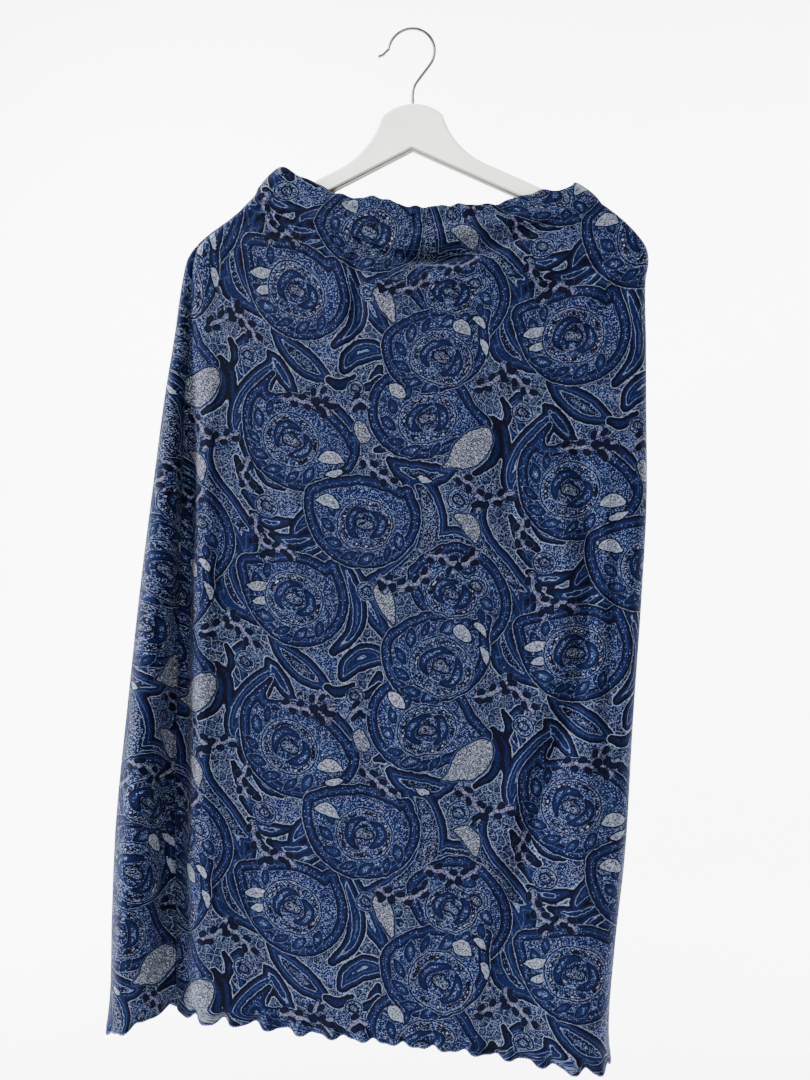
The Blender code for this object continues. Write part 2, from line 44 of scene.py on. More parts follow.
# Form of the hung cloth, in millimetres: the same tables as the solids.
# The tube's place f runs from 0 at the right outline over the front to 1 at the left outline and
# over the back to 2; v runs from 0 at the waist seam to 1 at the hem.
bodyForm = {
    "columns": ("height", "left", "right", "midDepth", "leftDepth", "rightDepth", "leftRound",
                "rightRound", "leftSeam", "rightSeam", "valley"),
    "rows": [
        (-150, -140, 160, 13, 12, 12, 11, 11, 1, 1, 0),
        (-168, -158, 183, 13, 11, 11, 10, 10, 2, 2, 0),
        (-185, -176, 205, 12.5, 11, 11, 7, 7, 3, 3, 0),
        (-198, -193.5, 218, 12.5, 11, 11, 6, 6, 4, 4, 0),
        (-210, -207, 227, 12.5, 11, 11, 6, 6, 5, 5, 0),
        (-223, -216, 230, 12, 11, 11, 6.5, 6.5, 7, 6, 0.5),
        (-240, -220, 228, 12, 11.5, 11, 7.5, 7.5, 10, 8, 1.5),
        (-299, -227, 230, 12.5, 13, 12, 10, 8, 17, 15, 5),
        (-359, -235, 232, 13, 15, 13, 12, 9, 22, 22, 8),
        (-448, -244, 235, 14, 18, 14, 16, 10, 31, 32, 12),
        (-540, -253, 233, 15, 21, 15, 19, 11, 40, 42, 15),
        (-659, -262.5, 228.5, 17, 25, 18, 24, 12, 49, 54, 18),
        (-780, -271, 225, 19, 29, 22, 29, 13, 58, 65, 21),
        (-870, -272, 218, 21, 32, 25, 32, 14, 63, 72, 24),
        (-950, -271.5, 215, 22, 34, 28, 34, 15, 66, 78, 26),
        (-990, -275, 220, 23, 35, 29, 34, 15, 68, 82, 27),
    ],
    # heights across the tube, from -1 at the left outline to 1 at the right
    "seamFront": [(-1, -159), (-0.6, -183), (-0.26, -203), (-0.1, -213), (0.06, -214), (0.18, -207),
                  (0.41, -194), (0.7, -184), (1, -168)],
    "seamBack": [(-1, -159), (-0.6, -184), (-0.2, -204), (0.15, -208), (0.45, -197), (0.7, -186),
                 (1, -168)],
    "topFront": [(-1, -130), (-0.78, -145), (-0.6, -158), (-0.46, -164.5), (-0.3, -164), (-0.1, -173),
                 (0.25, -171.5), (0.47, -171), (0.62, -164), (0.76, -159), (0.9, -157), (1, -149)],
    "topBack": [(-1, -130), (-0.78, -146), (-0.5, -161), (-0.1, -171), (0.3, -172), (0.6, -166),
                (0.85, -158), (1, -149)],
    "hemFront": [(-1, -972), (-0.93, -980), (-0.84, -975), (-0.72, -959), (-0.6, -962), (-0.45, -961),
                 (-0.2, -965), (0.2, -967), (0.6, -972), (0.9, -976), (1, -971)],
    "hemBack": [(-1, -972), (-0.6, -970), (0, -965), (0.5, -968), (1, -971)],
    # long folds: side, x at top and hem, width at top and hem, rise at top and hem, start height
    "folds": [
        ("front", -196, -176, 9, 22, 2.0, 5.5, -240),
        ("front", -90, -105, 30, 34, 0.0, -2.5, -420),
        ("front", 30, 22, 34, 40, 0.0, 2.0, -420),
        ("front", 128, 120, 26, 34, 0.0, -3.0, -480),
        ("front", 196, 182, 12, 22, 1.0, 4.0, -300),
        ("back", -190, -196, 12, 20, 0.0, -6.0, -280),
        ("back", -128, -138, 20, 30, 1.0, 9.0, -260),
        ("back", -58, -66, 22, 28, -1.0, -7.0, -260),
        ("back", 12, 6, 24, 32, 0.5, 8.0, -300),
        ("back", 84, 82, 20, 28, -1.0, -6.0, -260),
        ("back", 150, 156, 18, 26, 1.0, 9.0, -280),
    ],
    "foldsGrownBy": 0.5,
    "squeeze": 0.18,
    "squeezeReach": 0.16,
    "fluteFullTo": 0.6,
    "fluteGoneAt": 1.5,
    "fluteGoneExtra": 6,
    "valleyReachOuter": 0.24,
    "valleyReachInner": 0.36,
    "valleyLeastReach": 2,
    "rightSide": (0.1, 0.85),
    "sagTrough": (6.5, 9, 10),  # depth, distance below the seam, reach
    "sagRoll": (4.0, 36, 15),
    "sagCentre": -0.02,
    "sagHalfSpan": 0.5,
    "sagBackShare": 0.5,
    "lettuceWaves": 38,
    "lettuceDepth": 4.0,
    "lettuceDrop": 2.6,
    "lettuceReach": 15,
    # waves along the hem's edge, with whole turns round the tube, so that they meet at the seams
    "lettuceDrifts": ((1.1, 2, 0), (0.7, 4, 1)),  # size, turns, start
    "lettuceSwell": (0.78, 0.3, 3, 1.1),  # mean, size, turns, start
    "lettuceCurl": (0.3, 5, 1.3),  # size, turns, start
    "lettuceScallop": (1.2, 1.7, 0.85, 0.1),  # most, power, share, shift
}


def smoothStep(low, high, at):  # goes smoothly from 0 at low to 1 at high
    share = np.clip((at - low) / (high - low), 0, 1)
    return share * share * (3 - 2 * share)


def curveThrough(knots, values, at):  # cubic through the knots, slope at each the mean of its two sides
    knots = np.asarray(knots, float)
    values = np.asarray(values, float)
    steps = np.diff(knots)
    slopes = np.diff(values) / steps
    tangents = np.concatenate([slopes[:1], (slopes[1:] + slopes[:-1]) / 2, slopes[-1:]])
    at = np.clip(at, knots[0], knots[-1])
    left = np.clip(np.searchsorted(knots, at) - 1, 0, len(steps) - 1)
    step = steps[left]
    t = (at - knots[left]) / step
    return (
        (2 * t**3 - 3 * t**2 + 1) * values[left]
        + (t**3 - 2 * t**2 + t) * step * tangents[left]
        + (3 * t**2 - 2 * t**3) * values[left + 1]
        + (t**3 - t**2) * step * tangents[left + 1]
    )


def levelOf(table, across):
    return curveThrough([row[0] for row in table], [row[1] for row in table], across)


def sectionAt(height):  # every column of the body's table at these heights
    rows = bodyForm["rows"][::-1]
    heights = [row[0] for row in rows]
    return {
        name: curveThrough(heights, [row[k] for row in rows], height)
        for k, name in enumerate(bodyForm["columns"])
    }


def isFront(f):
    return np.mod(f, 2) < 1


def acrossOf(f):
    f = np.mod(f, 2)
    return 1 - 2 * np.where(f < 1, f, 2 - f)


def quarterLength(a, b):
    return math.pi / 2 * np.sqrt((a * a + b * b) / 2)


def flatOval(across, left, right, leftDepth, rightDepth, leftRound, rightRound):
    # a flat stretch between two quarter ellipses, walked evenly: x, and the share of the depth there
    rightEnd = quarterLength(rightRound, rightDepth)
    leftEnd = quarterLength(leftRound, leftDepth)
    flat = right - left - leftRound - rightRound
    walked = (1 - across) / 2 * (rightEnd + flat + leftEnd)
    fromLeft = rightEnd + flat + leftEnd - walked
    rightAngle = math.pi / 2 * np.clip(walked / rightEnd, 0, 1)
    leftAngle = math.pi / 2 * np.clip(fromLeft / leftEnd, 0, 1)
    x = right - rightRound - (walked - rightEnd)
    x = np.where(walked < rightEnd, right - rightRound + rightRound * np.cos(rightAngle), x)
    x = np.where(fromLeft < leftEnd, left + leftRound - leftRound * np.cos(leftAngle), x)
    return x, np.minimum(np.sin(rightAngle), np.sin(leftAngle))


def hump(distance, reach):
    return np.exp(-((distance / reach) ** 2))


def foldRise(side, x, height):  # sum of the long folds on one side, each a soft ridge growing to the hem
    rise = np.zeros_like(x)
    lowest = bodyForm["rows"][-1][0]
    for place, xTop, xHem, widthTop, widthHem, riseTop, riseHem, start in bodyForm["folds"]:
        if place != side:
            continue
        down = np.clip((start - height) / (start - lowest), 0, 1)
        grown = smoothStep(0, bodyForm["foldsGrownBy"], down) * (riseTop + (riseHem - riseTop) * down)
        rise += grown * hump(x - xTop - (xHem - xTop) * down, widthTop + (widthHem - widthTop) * down)
    return rise


def lettucePhase(f):
    phase = math.pi * bodyForm["lettuceWaves"] * f
    for size, rate, start in bodyForm["lettuceDrifts"]:
        phase = phase + size * np.sin(rate * math.pi * f + start)
    return phase


def waistAcross(f):
    across = acrossOf(f)
    return across * (1 - bodyForm["squeeze"] * (1 - across**2))


def bodyPoint(f, v):
    # middle of the cloth: an oval section at its height, with flute, valley, folds, sag and hem waves
    form = bodyForm
    f, v = np.broadcast_arrays(np.asarray(f, float), np.asarray(v, float))
    front = isFront(f)
    across = acrossOf(f)
    atWaist = waistAcross(f)
    top = np.where(front, levelOf(form["seamFront"], atWaist), levelOf(form["seamBack"], atWaist))
    hem = np.where(front, levelOf(form["hemFront"], across), levelOf(form["hemBack"], across))
    height = top + (hem - top) * v
    spread = smoothStep(0, form["squeezeReach"], v)
    across = across * (1 - form["squeeze"] * (1 - across**2) * (1 - spread))
    row = sectionAt(height)
    x, share = flatOval(across, row["left"], row["right"], row["leftDepth"], row["rightDepth"],
                        row["leftRound"], row["rightRound"])
    fluteGone = row["left"] + form["fluteGoneAt"] * row["leftSeam"] + form["fluteGoneExtra"]
    lobe = smoothStep(fluteGone, row["left"] + form["fluteFullTo"] * row["leftSeam"], x)
    rightSide = smoothStep(*form["rightSide"], across)
    depth = row["midDepth"] + (row["leftDepth"] - row["midDepth"]) * lobe
    depth = depth + (row["rightDepth"] - row["midDepth"]) * rightSide
    rise = np.where(front, foldRise("front", x, height), foldRise("back", x, height))
    fromSeam = x - row["left"] - row["leftSeam"]
    valleyShare = np.where(fromSeam < 0, form["valleyReachOuter"], form["valleyReachInner"])
    valleyReach = valleyShare * row["leftSeam"] + form["valleyLeastReach"]
    rise = rise - np.where(front, row["valley"] * hump(fromSeam, valleyReach), 0)
    below = top - height
    sag = hump(across - form["sagCentre"], form["sagHalfSpan"]) * np.where(front, 1, form["sagBackShare"])
    troughDepth, troughAt, troughReach = form["sagTrough"]
    rollRise, rollAt, rollReach = form["sagRoll"]
    rise = rise - troughDepth * sag * hump(below - troughAt, troughReach)
    rise = rise + rollRise * sag * hump(below - rollAt, rollReach)
    phase = lettucePhase(f)
    mean, size, turns, start = form["lettuceSwell"]
    wave = np.sin(phase) * (mean + size * np.sin(turns * math.pi * f + start))
    size, turns, start = form["lettuceCurl"]
    wave = wave + size * np.sin(2 * phase - turns * math.pi * f + start)
    most, power, dropShare, dropShift = form["lettuceScallop"]
    scallop = 1 - 2 * np.clip((1 - wave) / 2, 0, most) ** power
    near = smoothStep(form["lettuceReach"], 0, height - hem)
    y = np.where(front, -1, 1) * (depth + rise + form["lettuceDepth"] * wave * near) * share
    drop = form["lettuceDrop"] * (dropShare * scallop - dropShift) * near
    return np.stack([x, y, height - drop], axis=-1)


def unit(vectors):
    return vectors / np.maximum(np.linalg.norm(vectors, axis=-1, keepdims=True), 1e-9)


def outwardOf(f, v):  # cross product of the tube's own slopes
    step = 1e-3
    down = bodyPoint(f, np.minimum(v + step, 1)) - bodyPoint(f, np.maximum(v - step, 0))
    along = bodyPoint(f + step, v) - bodyPoint(f - step, v)
    return unit(np.cross(along, down))


def seamShare(v, column, side):  # a side seam's walk from its outline, as a share of the half girth
    top = levelOf(bodyForm["seamFront"], side)
    hem = levelOf(bodyForm["hemFront"], side)
    row = sectionAt(top + (hem - top) * v)
    rightEnd = quarterLength(row["rightRound"], row["rightDepth"])
    leftEnd = quarterLength(row["leftRound"], row["leftDepth"])
    halfGirth = rightEnd + leftEnd + row["right"] - row["left"] - row["leftRound"] - row["rightRound"]
    end = leftEnd if side < 0 else rightEnd
    endRound = row["leftRound"] if side < 0 else row["rightRound"]
    inset = row[column]
    walked = np.where(inset > endRound, end + inset - endRound, end * np.clip(inset / endRound, 0, 1))
    return walked / halfGirth


# Print of the cloth: strokes (x, y, radius) drawn in print units, y down, from the first eye.
# Each stroke is a row of discs along a smooth path; a layer's field is the distance to the nearest edge.
printForm = {
    "unit": 0.965,
    "turn": 1.75,            # degrees that the print leans on the hung cloth
    "acrossRepeat": (278, 58),
    "downRepeat": (0, 306),
    "cap": 60,               # farthest distance that a layer's field keeps
    "margin": 14,            # reach round a stroke in which its field is worked out
    "discSpacing": 2.5,
    "leastRadius": 0.3,
    "budSpacing": 6.5,
    "budOut": 4.2,           # from the branch's middle
    "budLean": (1.6, 0.15),  # half a bud along the branch, share outwards
    "budRadii": (2.5, 2.9),
    "firstEye": {"front": (-103.9, 258.0), "back": (-373.0, 494.6)},  # mm across and down
}
printStrokes = {
    "patch": [
        [(-62, 180, 8), (-48, 192, 16), (-30, 206, 18), (-10, 226, 16), (8, 240, 10)],
        [(216, 214, 10), (232, 226, 14), (246, 238, 8)], [(22, 64, 6), (40, 70, 9), (58, 82, 6)],
        [(44, 112, 8), (62, 124, 10), (76, 146, 7)], [(228, 60, 6), (238, 80, 9), (230, 100, 6)],
        [(-112, 30, 6), (-106, 56, 8)], [(176, 214, 5), (196, 224, 7)],
        [(70, 124, 10), (82, 140, 14), (92, 158, 8)], [(-20, 60, 8), (0, 78, 14), (20, 92, 8)],
    ],
    "tongue": [
        [(-56, 58, 4), (-62, 72, 9), (-60, 88, 10), (-51, 101, 6), (-44, 108, 2)],
        [(-92, 164, 5), (-97, 182, 9), (-92, 204, 13), (-74, 228, 15), (-54, 246, 10), (-34, 254, 3)],
        [(-26, 46, 3), (-12, 60, 10), (8, 76, 13), (26, 88, 7), (34, 92, 2)],
        [(114, -34, 6), (150, -50, 10), (190, -36, 9), (218, 0, 9), (226, 30, 4)],
        [(94, 172, 3), (106, 182, 9), (124, 190, 12), (144, 194, 9), (160, 190, 2)],
        [(112, 196, 5), (126, 206, 12), (132, 226, 16), (134, 246, 17), (126, 268, 17), (102, 284, 13),
         (76, 292, 6)],
        [(56, -30, 4), (66, -8, 8), (78, 18, 9), (90, 38, 5), (96, 52, 2)],
        [(40, 118, 3), (50, 134, 7), (60, 148, 3)],
        [(-58, -38, 4), (-72, -16, 9), (-66, 8, 11), (-50, 24, 8), (-38, 34, 3)],
        [(196, 60, 4), (206, 74, 8), (222, 84, 5), (232, 88, 2)], [(84, 78, 3), (80, 94, 7), (84, 108, 4)],
        [(236, 196, 2), (248, 206, 8), (266, 208, 9), (284, 200, 3)],
        [(222, 268, 2), (236, 276, 8), (250, 292, 8), (256, 306, 3)],
        [(232, 40, 2), (226, 54, 8), (232, 70, 9), (244, 82, 3)], [(60, 44, 2), (66, 56, 7), (78, 64, 3)],
        [(62, 262, 1), (56, 284, 6), (62, 300, 8), (76, 312, 3)],
        [(8, 226, 2), (14, 244, 7), (26, 262, 8), (44, 276, 3)], [(100, 148, 2), (92, 158, 5), (80, 162, 2)],
        [(196, 40, 2), (214, 34, 7), (230, 20, 6), (236, 6, 2)],
    ],
    "tongue2": [
        [(-31, 68, 1.5), (-24, 77, 7), (-14, 91, 8), (-6, 103, 5), (0, 110, 2)],
        [(-28, 82, 7), (-38, 97, 13), (-52, 115, 14), (-62, 133, 11), (-64, 148, 7), (-58, 159, 3)],
        [(-28, 250, 2), (-8, 255, 7), (12, 251, 6), (24, 246, 2)],
        [(-6, 282, 2), (2, 268, 6), (18, 259, 6), (30, 256, 2)], [(32, 92, 3), (44, 96, 5), (58, 88, 2)],
        [(48, 80, 5), (56, 68, 11), (72, 60, 12), (88, 62, 7), (98, 72, 3)],
        [(230, -18, 2), (250, -10, 7), (276, -14, 2)],
        [(274, 6, 2), (280, -8, 8), (298, -22, 11), (322, -26, 5)],
        [(190, 137, 1.5), (198, 149, 3.6), (201, 165, 4.4), (195, 181, 4), (179, 193, 2.5)],
        [(196, 136, 2), (208, 150, 4), (210, 172, 4.4), (214, 194, 5), (222, 210, 3)],
        [(36, 150, 2), (50, 153, 5), (62, 150, 2)], [(234, 238, 3), (248, 252, 7), (264, 260, 3)],
        [(60, 100, 2), (74, 98, 4), (84, 88, 2)], [(220, 222, 2), (232, 232, 7), (248, 236, 7), (262, 232, 2)],
        [(-64, 176, 2), (-54, 196, 6), (-38, 208, 3)], [(206, 118, 2), (212, 132, 4), (208, 146, 2)],
        [(258, 36, 2), (264, 46, 6), (262, 60, 3)], [(150, 148, 1), (160, 158, 4), (164, 168, 1)],
        [(46, -42, 3), (54, -16, 7), (62, 12, 9), (58, 36, 8), (38, 56, 4)],
    ],
    "web": [
        [(-14, 113, 1.3), (0, 113, 1.7), (14, 116, 1.6), (26, 117, 1.7), (38, 113, 1.3)],
        [(14, 116, 1.3), (20, 106, 1.5), (24, 98, 1.2)], [(26, 117, 1.3), (32, 126, 1.4)],
        [(162, 196, 1.3), (174, 204, 1.7), (187, 219, 1.8), (201, 216, 1.6), (215, 211, 1.3)],
        [(187, 219, 1.3), (182, 228, 1.3)],
        [(180, 106, 1.3), (190, 104, 1.7), (211, 94, 1.8), (226, 104, 1.6), (235, 118, 1.3)],
        [(211, 94, 1.3), (208, 84, 1.3)],
        [(132, 271, 1.3), (145, 274, 1.7), (159, 282, 1.8), (173, 280, 1.7), (181, 271, 1.3)],
        [(159, 282, 1.3), (157, 291, 1.3)],
        [(84, 289, 1.3), (95, 294, 1.7), (109, 298, 1.8), (125, 294, 1.6), (134, 287, 1.3)],
        [(95, 294, 1.3), (90, 302, 1.3)],
        [(234, -14, 1.3), (238, 4, 1.6), (250, 16, 1.9), (266, 14, 1.7), (276, 22, 1.3)],
        [(250, 16, 1.3), (246, 27, 1.3)], [(68, 170, 1.3), (78, 181, 1.7), (88, 189, 1.6), (98, 198, 1.3)],
        [(228, 236, 1.3), (222, 252, 1.6), (230, 266, 1.3)], [(54, 122, 1.2), (62, 112, 1.6), (72, 116, 1.4)],
    ],
    "comma": [
        [(-50, -22, 12), (-22, -4, 34), (0, 6, 46), (16, 8, 37), (32, -8, 18), (36, -28, 7)],
        [(-26, 88, 2), (-37, 104, 6), (-38, 124, 18), (-20, 145, 36), (-2, 155, 47), (24, 162, 36),
         (50, 164, 14), (60, 146, 4)],
        [(122, -20, 10), (146, -10, 32), (164, -2, 40), (186, 14, 28), (194, 36, 12), (188, 54, 4)],
        [(100, 104, 18), (112, 120, 40), (128, 129, 46), (156, 140, 28), (186, 144, 9)],
    ],
    "comma2": [
        [(18, 206, 10), (38, 220, 30), (62, 232, 45), (84, 234, 40), (102, 224, 20), (110, 208, 8)],
        [(112, 54, 26), (134, 64, 44), (152, 64, 40), (178, 46, 14), (190, 30, 5)],
    ],
    "petal": [
        [(-52, -2, 1.2), (-40, -3, 5.5), (-26, -6, 1.2)], [(-46, 13, 1), (-36, 11, 4.5), (-24, 7, 1)],
        [(22, 172, 1.2), (34, 169, 7), (48, 173, 1.4)], [(28, 187, 1), (39, 185, 4), (50, 182, 1)],
        [(20, 212, 1.2), (32, 212, 6.5), (44, 220, 1.4)], [(94, 96, 1), (101, 103, 6.5), (110, 112, 1.2)],
        [(158, 40, 1.2), (166, 44, 7.5), (174, 52, 1.5)], [(176, 34, 1), (184, 38, 4), (190, 48, 1)],
        [(183, 56, 1), (189, 64, 4), (190, 76, 1)], [(120, 190, 1), (128, 196, 3.5), (136, 198, 1)],
    ],
    "pebble": [
        [(148, 186, 1.5), (160, 181, 7), (172, 172, 15), (184, 160, 12), (190, 152, 5)],
        [(160, 236, 2), (170, 240, 7), (176, 247, 8), (179, 260, 2)], [(64, 139, 6), (68, 148, 7)],
        [(86, -4, 8), (91, 8, 8), (98, 28, 2)],
    ],
}
eyes = [  # place, half widths, turn, then the wreath's first and last angle and its leaves
    (-2, 6, 31, 26, 15, 40, 215, 7), (-6, 154, 30, 27, 25, 50, 225, 7), (70, 236, 29, 26, 10, 15, 195, 7),
    (156, 6, 27, 22, 30, -70, 90, 6), (146, 76, 34, 27, 38, 100, 300, 8), (132, 136, 30, 25, 8, 70, 260, 7),
]
smallEyes = [  # place, half widths, turn
    (-31, 222, 12, 10, 20), (163, 220, 12, 11, 60), (72, -4, 10, 9, 0), (-98, 246, 12, 11, 0),
    (60, 100, 9, 8, 30), (226, 132, 11, 9, 45),
]
eyeForm = {  # lengths in print units, angles in radians, reaches as shares of the ring
    "ringEnd": 0.96,
    "smallCore": ((-1.5, -1, 0.42), (1.5, 1, 0.36)),   # place, radius as a share of the half height
    "crescents": ((2.3, 5.2, 3.9), (-0.8, 1.5, 4.4)),  # first and last angle, radius
    "crescentPoints": 7,
    "crescentTip": (0.12, 0.8),      # angle cut from the swell's ends, radius
    "crescentReach": (0.55, 0.04),   # mean, change
    "crescentTurn": 0.35,
    "core": ((-4.5, 0.2), (4.5, 0.17)),                # place along the eye, radius as a share
    "coreDot": ((2, 7, 1.6), (4, 8, 1.3)),
    "beadCount": 0.52,               # for each unit of both half widths
    "beadReach": 0.82,
    "beadTurn": 0.1,
    "beadLong": (0.8, 0.5),
    "beadRadii": (1.35, 1.2),
    "leafPoints": ((1.12, 0), (1.31, 0.22), (1.58, 0.4)),  # reach, angle further on
    "leafTip": 0.6,
    "leafRadius": 4.9,
    "leafChange": 0.16,
}


def smoothPath(points, count):  # Catmull-Rom curve through the points
    points = np.asarray(points, float)
    if len(points) < 3:
        t = np.linspace(0, 1, count)[:, None]
        return points[0] * (1 - t) + points[-1] * t
    padded = np.vstack([2 * points[0] - points[1], points, 2 * points[-1] - points[-2]])
    t = np.linspace(0, len(points) - 1, count)
    k = np.minimum(t.astype(int), len(points) - 2)
    s = (t - k)[:, None]
    a, b, c, d = padded[k], padded[k + 1], padded[k + 2], padded[k + 3]
    return 0.5 * (2 * b + (c - a) * s + (2 * a - 5 * b + 4 * c - d) * s**2 + (3 * b - a - 3 * c + d) * s**3)


def strokeField(x, y, path):
    reach = np.hypot(*np.diff(path[:, :2], axis=0).T).sum()
    field = np.full(x.shape, float(printForm["cap"]))
    for discX, discY, radius in smoothPath(path, max(6, int(reach / printForm["discSpacing"]))):
        np.minimum(field, np.hypot(x - discX, y - discY) - max(radius, printForm["leastRadius"]), out=field)
    return field


def layerField(x, y, paths):  # least of all strokes, each laid again at every repeat that comes near
    field = np.full(x.shape, float(printForm["cap"]))
    across = printForm["acrossRepeat"]
    down = printForm["downRepeat"]
    for path in paths:
        path = np.asarray(path, float)
        reach = printForm["margin"] + path[:, 2].max()
        low = path[:, :2].min(0) - reach
        high = path[:, :2].max(0) + reach
        first = int(np.floor((x.min() - high[0]) / across[0]))
        last = int(np.ceil((x.max() - low[0]) / across[0]))
        for i in range(first, last + 1):
            above = int(np.floor((y.min() - high[1] - i * across[1]) / down[1]))
            under = int(np.ceil((y.max() - low[1] - i * across[1]) / down[1]))
            for j in range(above, under + 1):
                shift = np.array([i * across[0] + j * down[0], i * across[1] + j * down[1], 0])
                near = np.flatnonzero((x > low[0] + shift[0]) & (x < high[0] + shift[0])
                                      & (y > low[1] + shift[1]) & (y < high[1] + shift[1]))
                if len(near):
                    field[near] = np.minimum(field[near], strokeField(x[near], y[near], path + shift))
    return field


def eyePaths():  # what stands round and in each eye: wreath of leaves, ring, crescents, core, beads
    form = eyeForm
    made = {"leaf": [], "ring": [], "crescent": [], "core": [], "bead": []}

    def around(eye, reach, angle):  # a place round the eye, at a share of its ring
        x, y, wide, high, turn = eye[:5]
        far = angle - math.radians(turn)
        u, w = wide * reach * math.cos(far), high * reach * math.sin(far)
        c, s = math.cos(math.radians(turn)), math.sin(math.radians(turn))
        return np.array([x + u * c - w * s, y + u * s + w * c])

    for n, eye in enumerate(eyes + smallEyes):
        x, y, wide, high, turn = eye[:5]
        c, s = math.cos(math.radians(turn)), math.sin(math.radians(turn))
        half = wide - high
        made["ring"].append([(x - half * c, y - half * s, high),
                             (x + half * c, y + half * s, high * form["ringEnd"])])
        if len(eye) == 5:
            made["core"].append([(x + right, y + down, high * share)
                                 for right, down, share in form["smallCore"]])
            continue
        cut, tip = form["crescentTip"]
        reach, change = form["crescentReach"]
        for start, end, thick in form["crescents"]:
            spread = np.linspace(start, end, form["crescentPoints"]) + form["crescentTurn"] * math.sin(n * 2.1)
            swell = np.sin(np.linspace(cut, math.pi - cut, form["crescentPoints"]))
            made["crescent"].append([(*around(eye, reach + change * math.sin(3 * a + n), a), tip + thick * t)
                                     for a, t in zip(spread, swell)])
        made["core"].append([(x + far * c, y + far * s, high * share) for far, share in form["core"]])
        made["core"].append([(x + right * s, y - up * c, radius) for right, up, radius in form["coreDot"]])
        count = int((wide + high) * form["beadCount"])
        for k in range(count):
            place = around(eye, form["beadReach"], 2 * math.pi * k / count + form["beadTurn"] * n)
            if (k * 7 + n) % 5:
                made["bead"].append([(*place, form["beadRadii"][0]),
                                     (*(place + form["beadLong"]), form["beadRadii"][1])])
        first, last, count = eye[5:]
        for k in range(count):
            angle = math.radians(first + (last - first) * k / (count - 1))
            size = 1 + form["leafChange"] * math.sin(2.7 * k + n)
            radii = (form["leafTip"], form["leafRadius"] * size, form["leafTip"])
            made["leaf"].append([(*around(eye, out, angle + further * size), radius)
                                 for (out, further), radius in zip(form["leafPoints"], radii)])
    return made


def budPaths(webs):  # small dark buds on alternate sides of each pale branch
    made = []
    for n, path in enumerate(webs):
        path = np.asarray(path, float)
        count = max(2, int(np.hypot(*np.diff(path[:, :2], axis=0).T).sum() / printForm["budSpacing"]))
        places = smoothPath(path, 2 * count + 1)[:, :2]
        for k in range(count):
            along = places[2 * k + 2] - places[2 * k]
            along /= max(np.hypot(*along), 1e-6)
            side = np.array([-along[1], along[0]]) * printForm["budOut"] * (1 if (k + n) % 2 else -1)
            middle = places[2 * k + 1] + side
            half = along * printForm["budLean"][0] + side * printForm["budLean"][1]
            made.append([(*(middle - half), printForm["budRadii"][0]),
                         (*(middle + half), printForm["budRadii"][1])])
    return made


def addPrint(mesh, across, down, onFront):
    # stores every layer's field on the mesh's points, three to an attribute
    first = printForm["firstEye"]
    across = across - np.where(onFront, first["front"][0], first["back"][0])
    down = down - np.where(onFront, first["front"][1], first["back"][1])
    turn = math.radians(printForm["turn"])
    x = (across * math.cos(turn) - down * math.sin(turn)) / printForm["unit"]
    y = (across * math.sin(turn) + down * math.cos(turn)) / printForm["unit"]
    strokes = {**printStrokes, **eyePaths(), "bud": budPaths(printStrokes["web"])}
    fields = [layerField(x, y, strokes[name]) * printForm["unit"] for name in printOrder]
    while len(fields) % 3:
        fields.append(np.zeros_like(x))
    for k in range(0, len(fields), 3):
        made = mesh.attributes.new(f"print{k // 3}", "FLOAT_VECTOR", "POINT")
        made.data.foreach_set("vector", np.stack(fields[k:k + 3], axis=-1).astype(np.float32).ravel())


# Looks of the cloth


def linear(red, green, blue):  # from screen values of 0 to 255 to the shader's linear ones
    values = np.array([red, green, blue]) / 255
    lifted = ((values + 0.055) / 1.055) ** 2.4
    return tuple(float(c) for c in np.where(values < 0.04045, values / 12.92, lifted))


colours = {
    "black": linear(2, 9, 50),
    "ink": linear(8, 19, 62),
    "navy": linear(19, 34, 76),
    "royal": linear(34, 54, 102),
    "mid": linear(48, 69, 110),
    "dim": linear(92, 106, 138),
    "light": linear(152, 163, 184),
    "pale": linear(168, 172, 184),
    "mauve": linear(146, 146, 170),
}

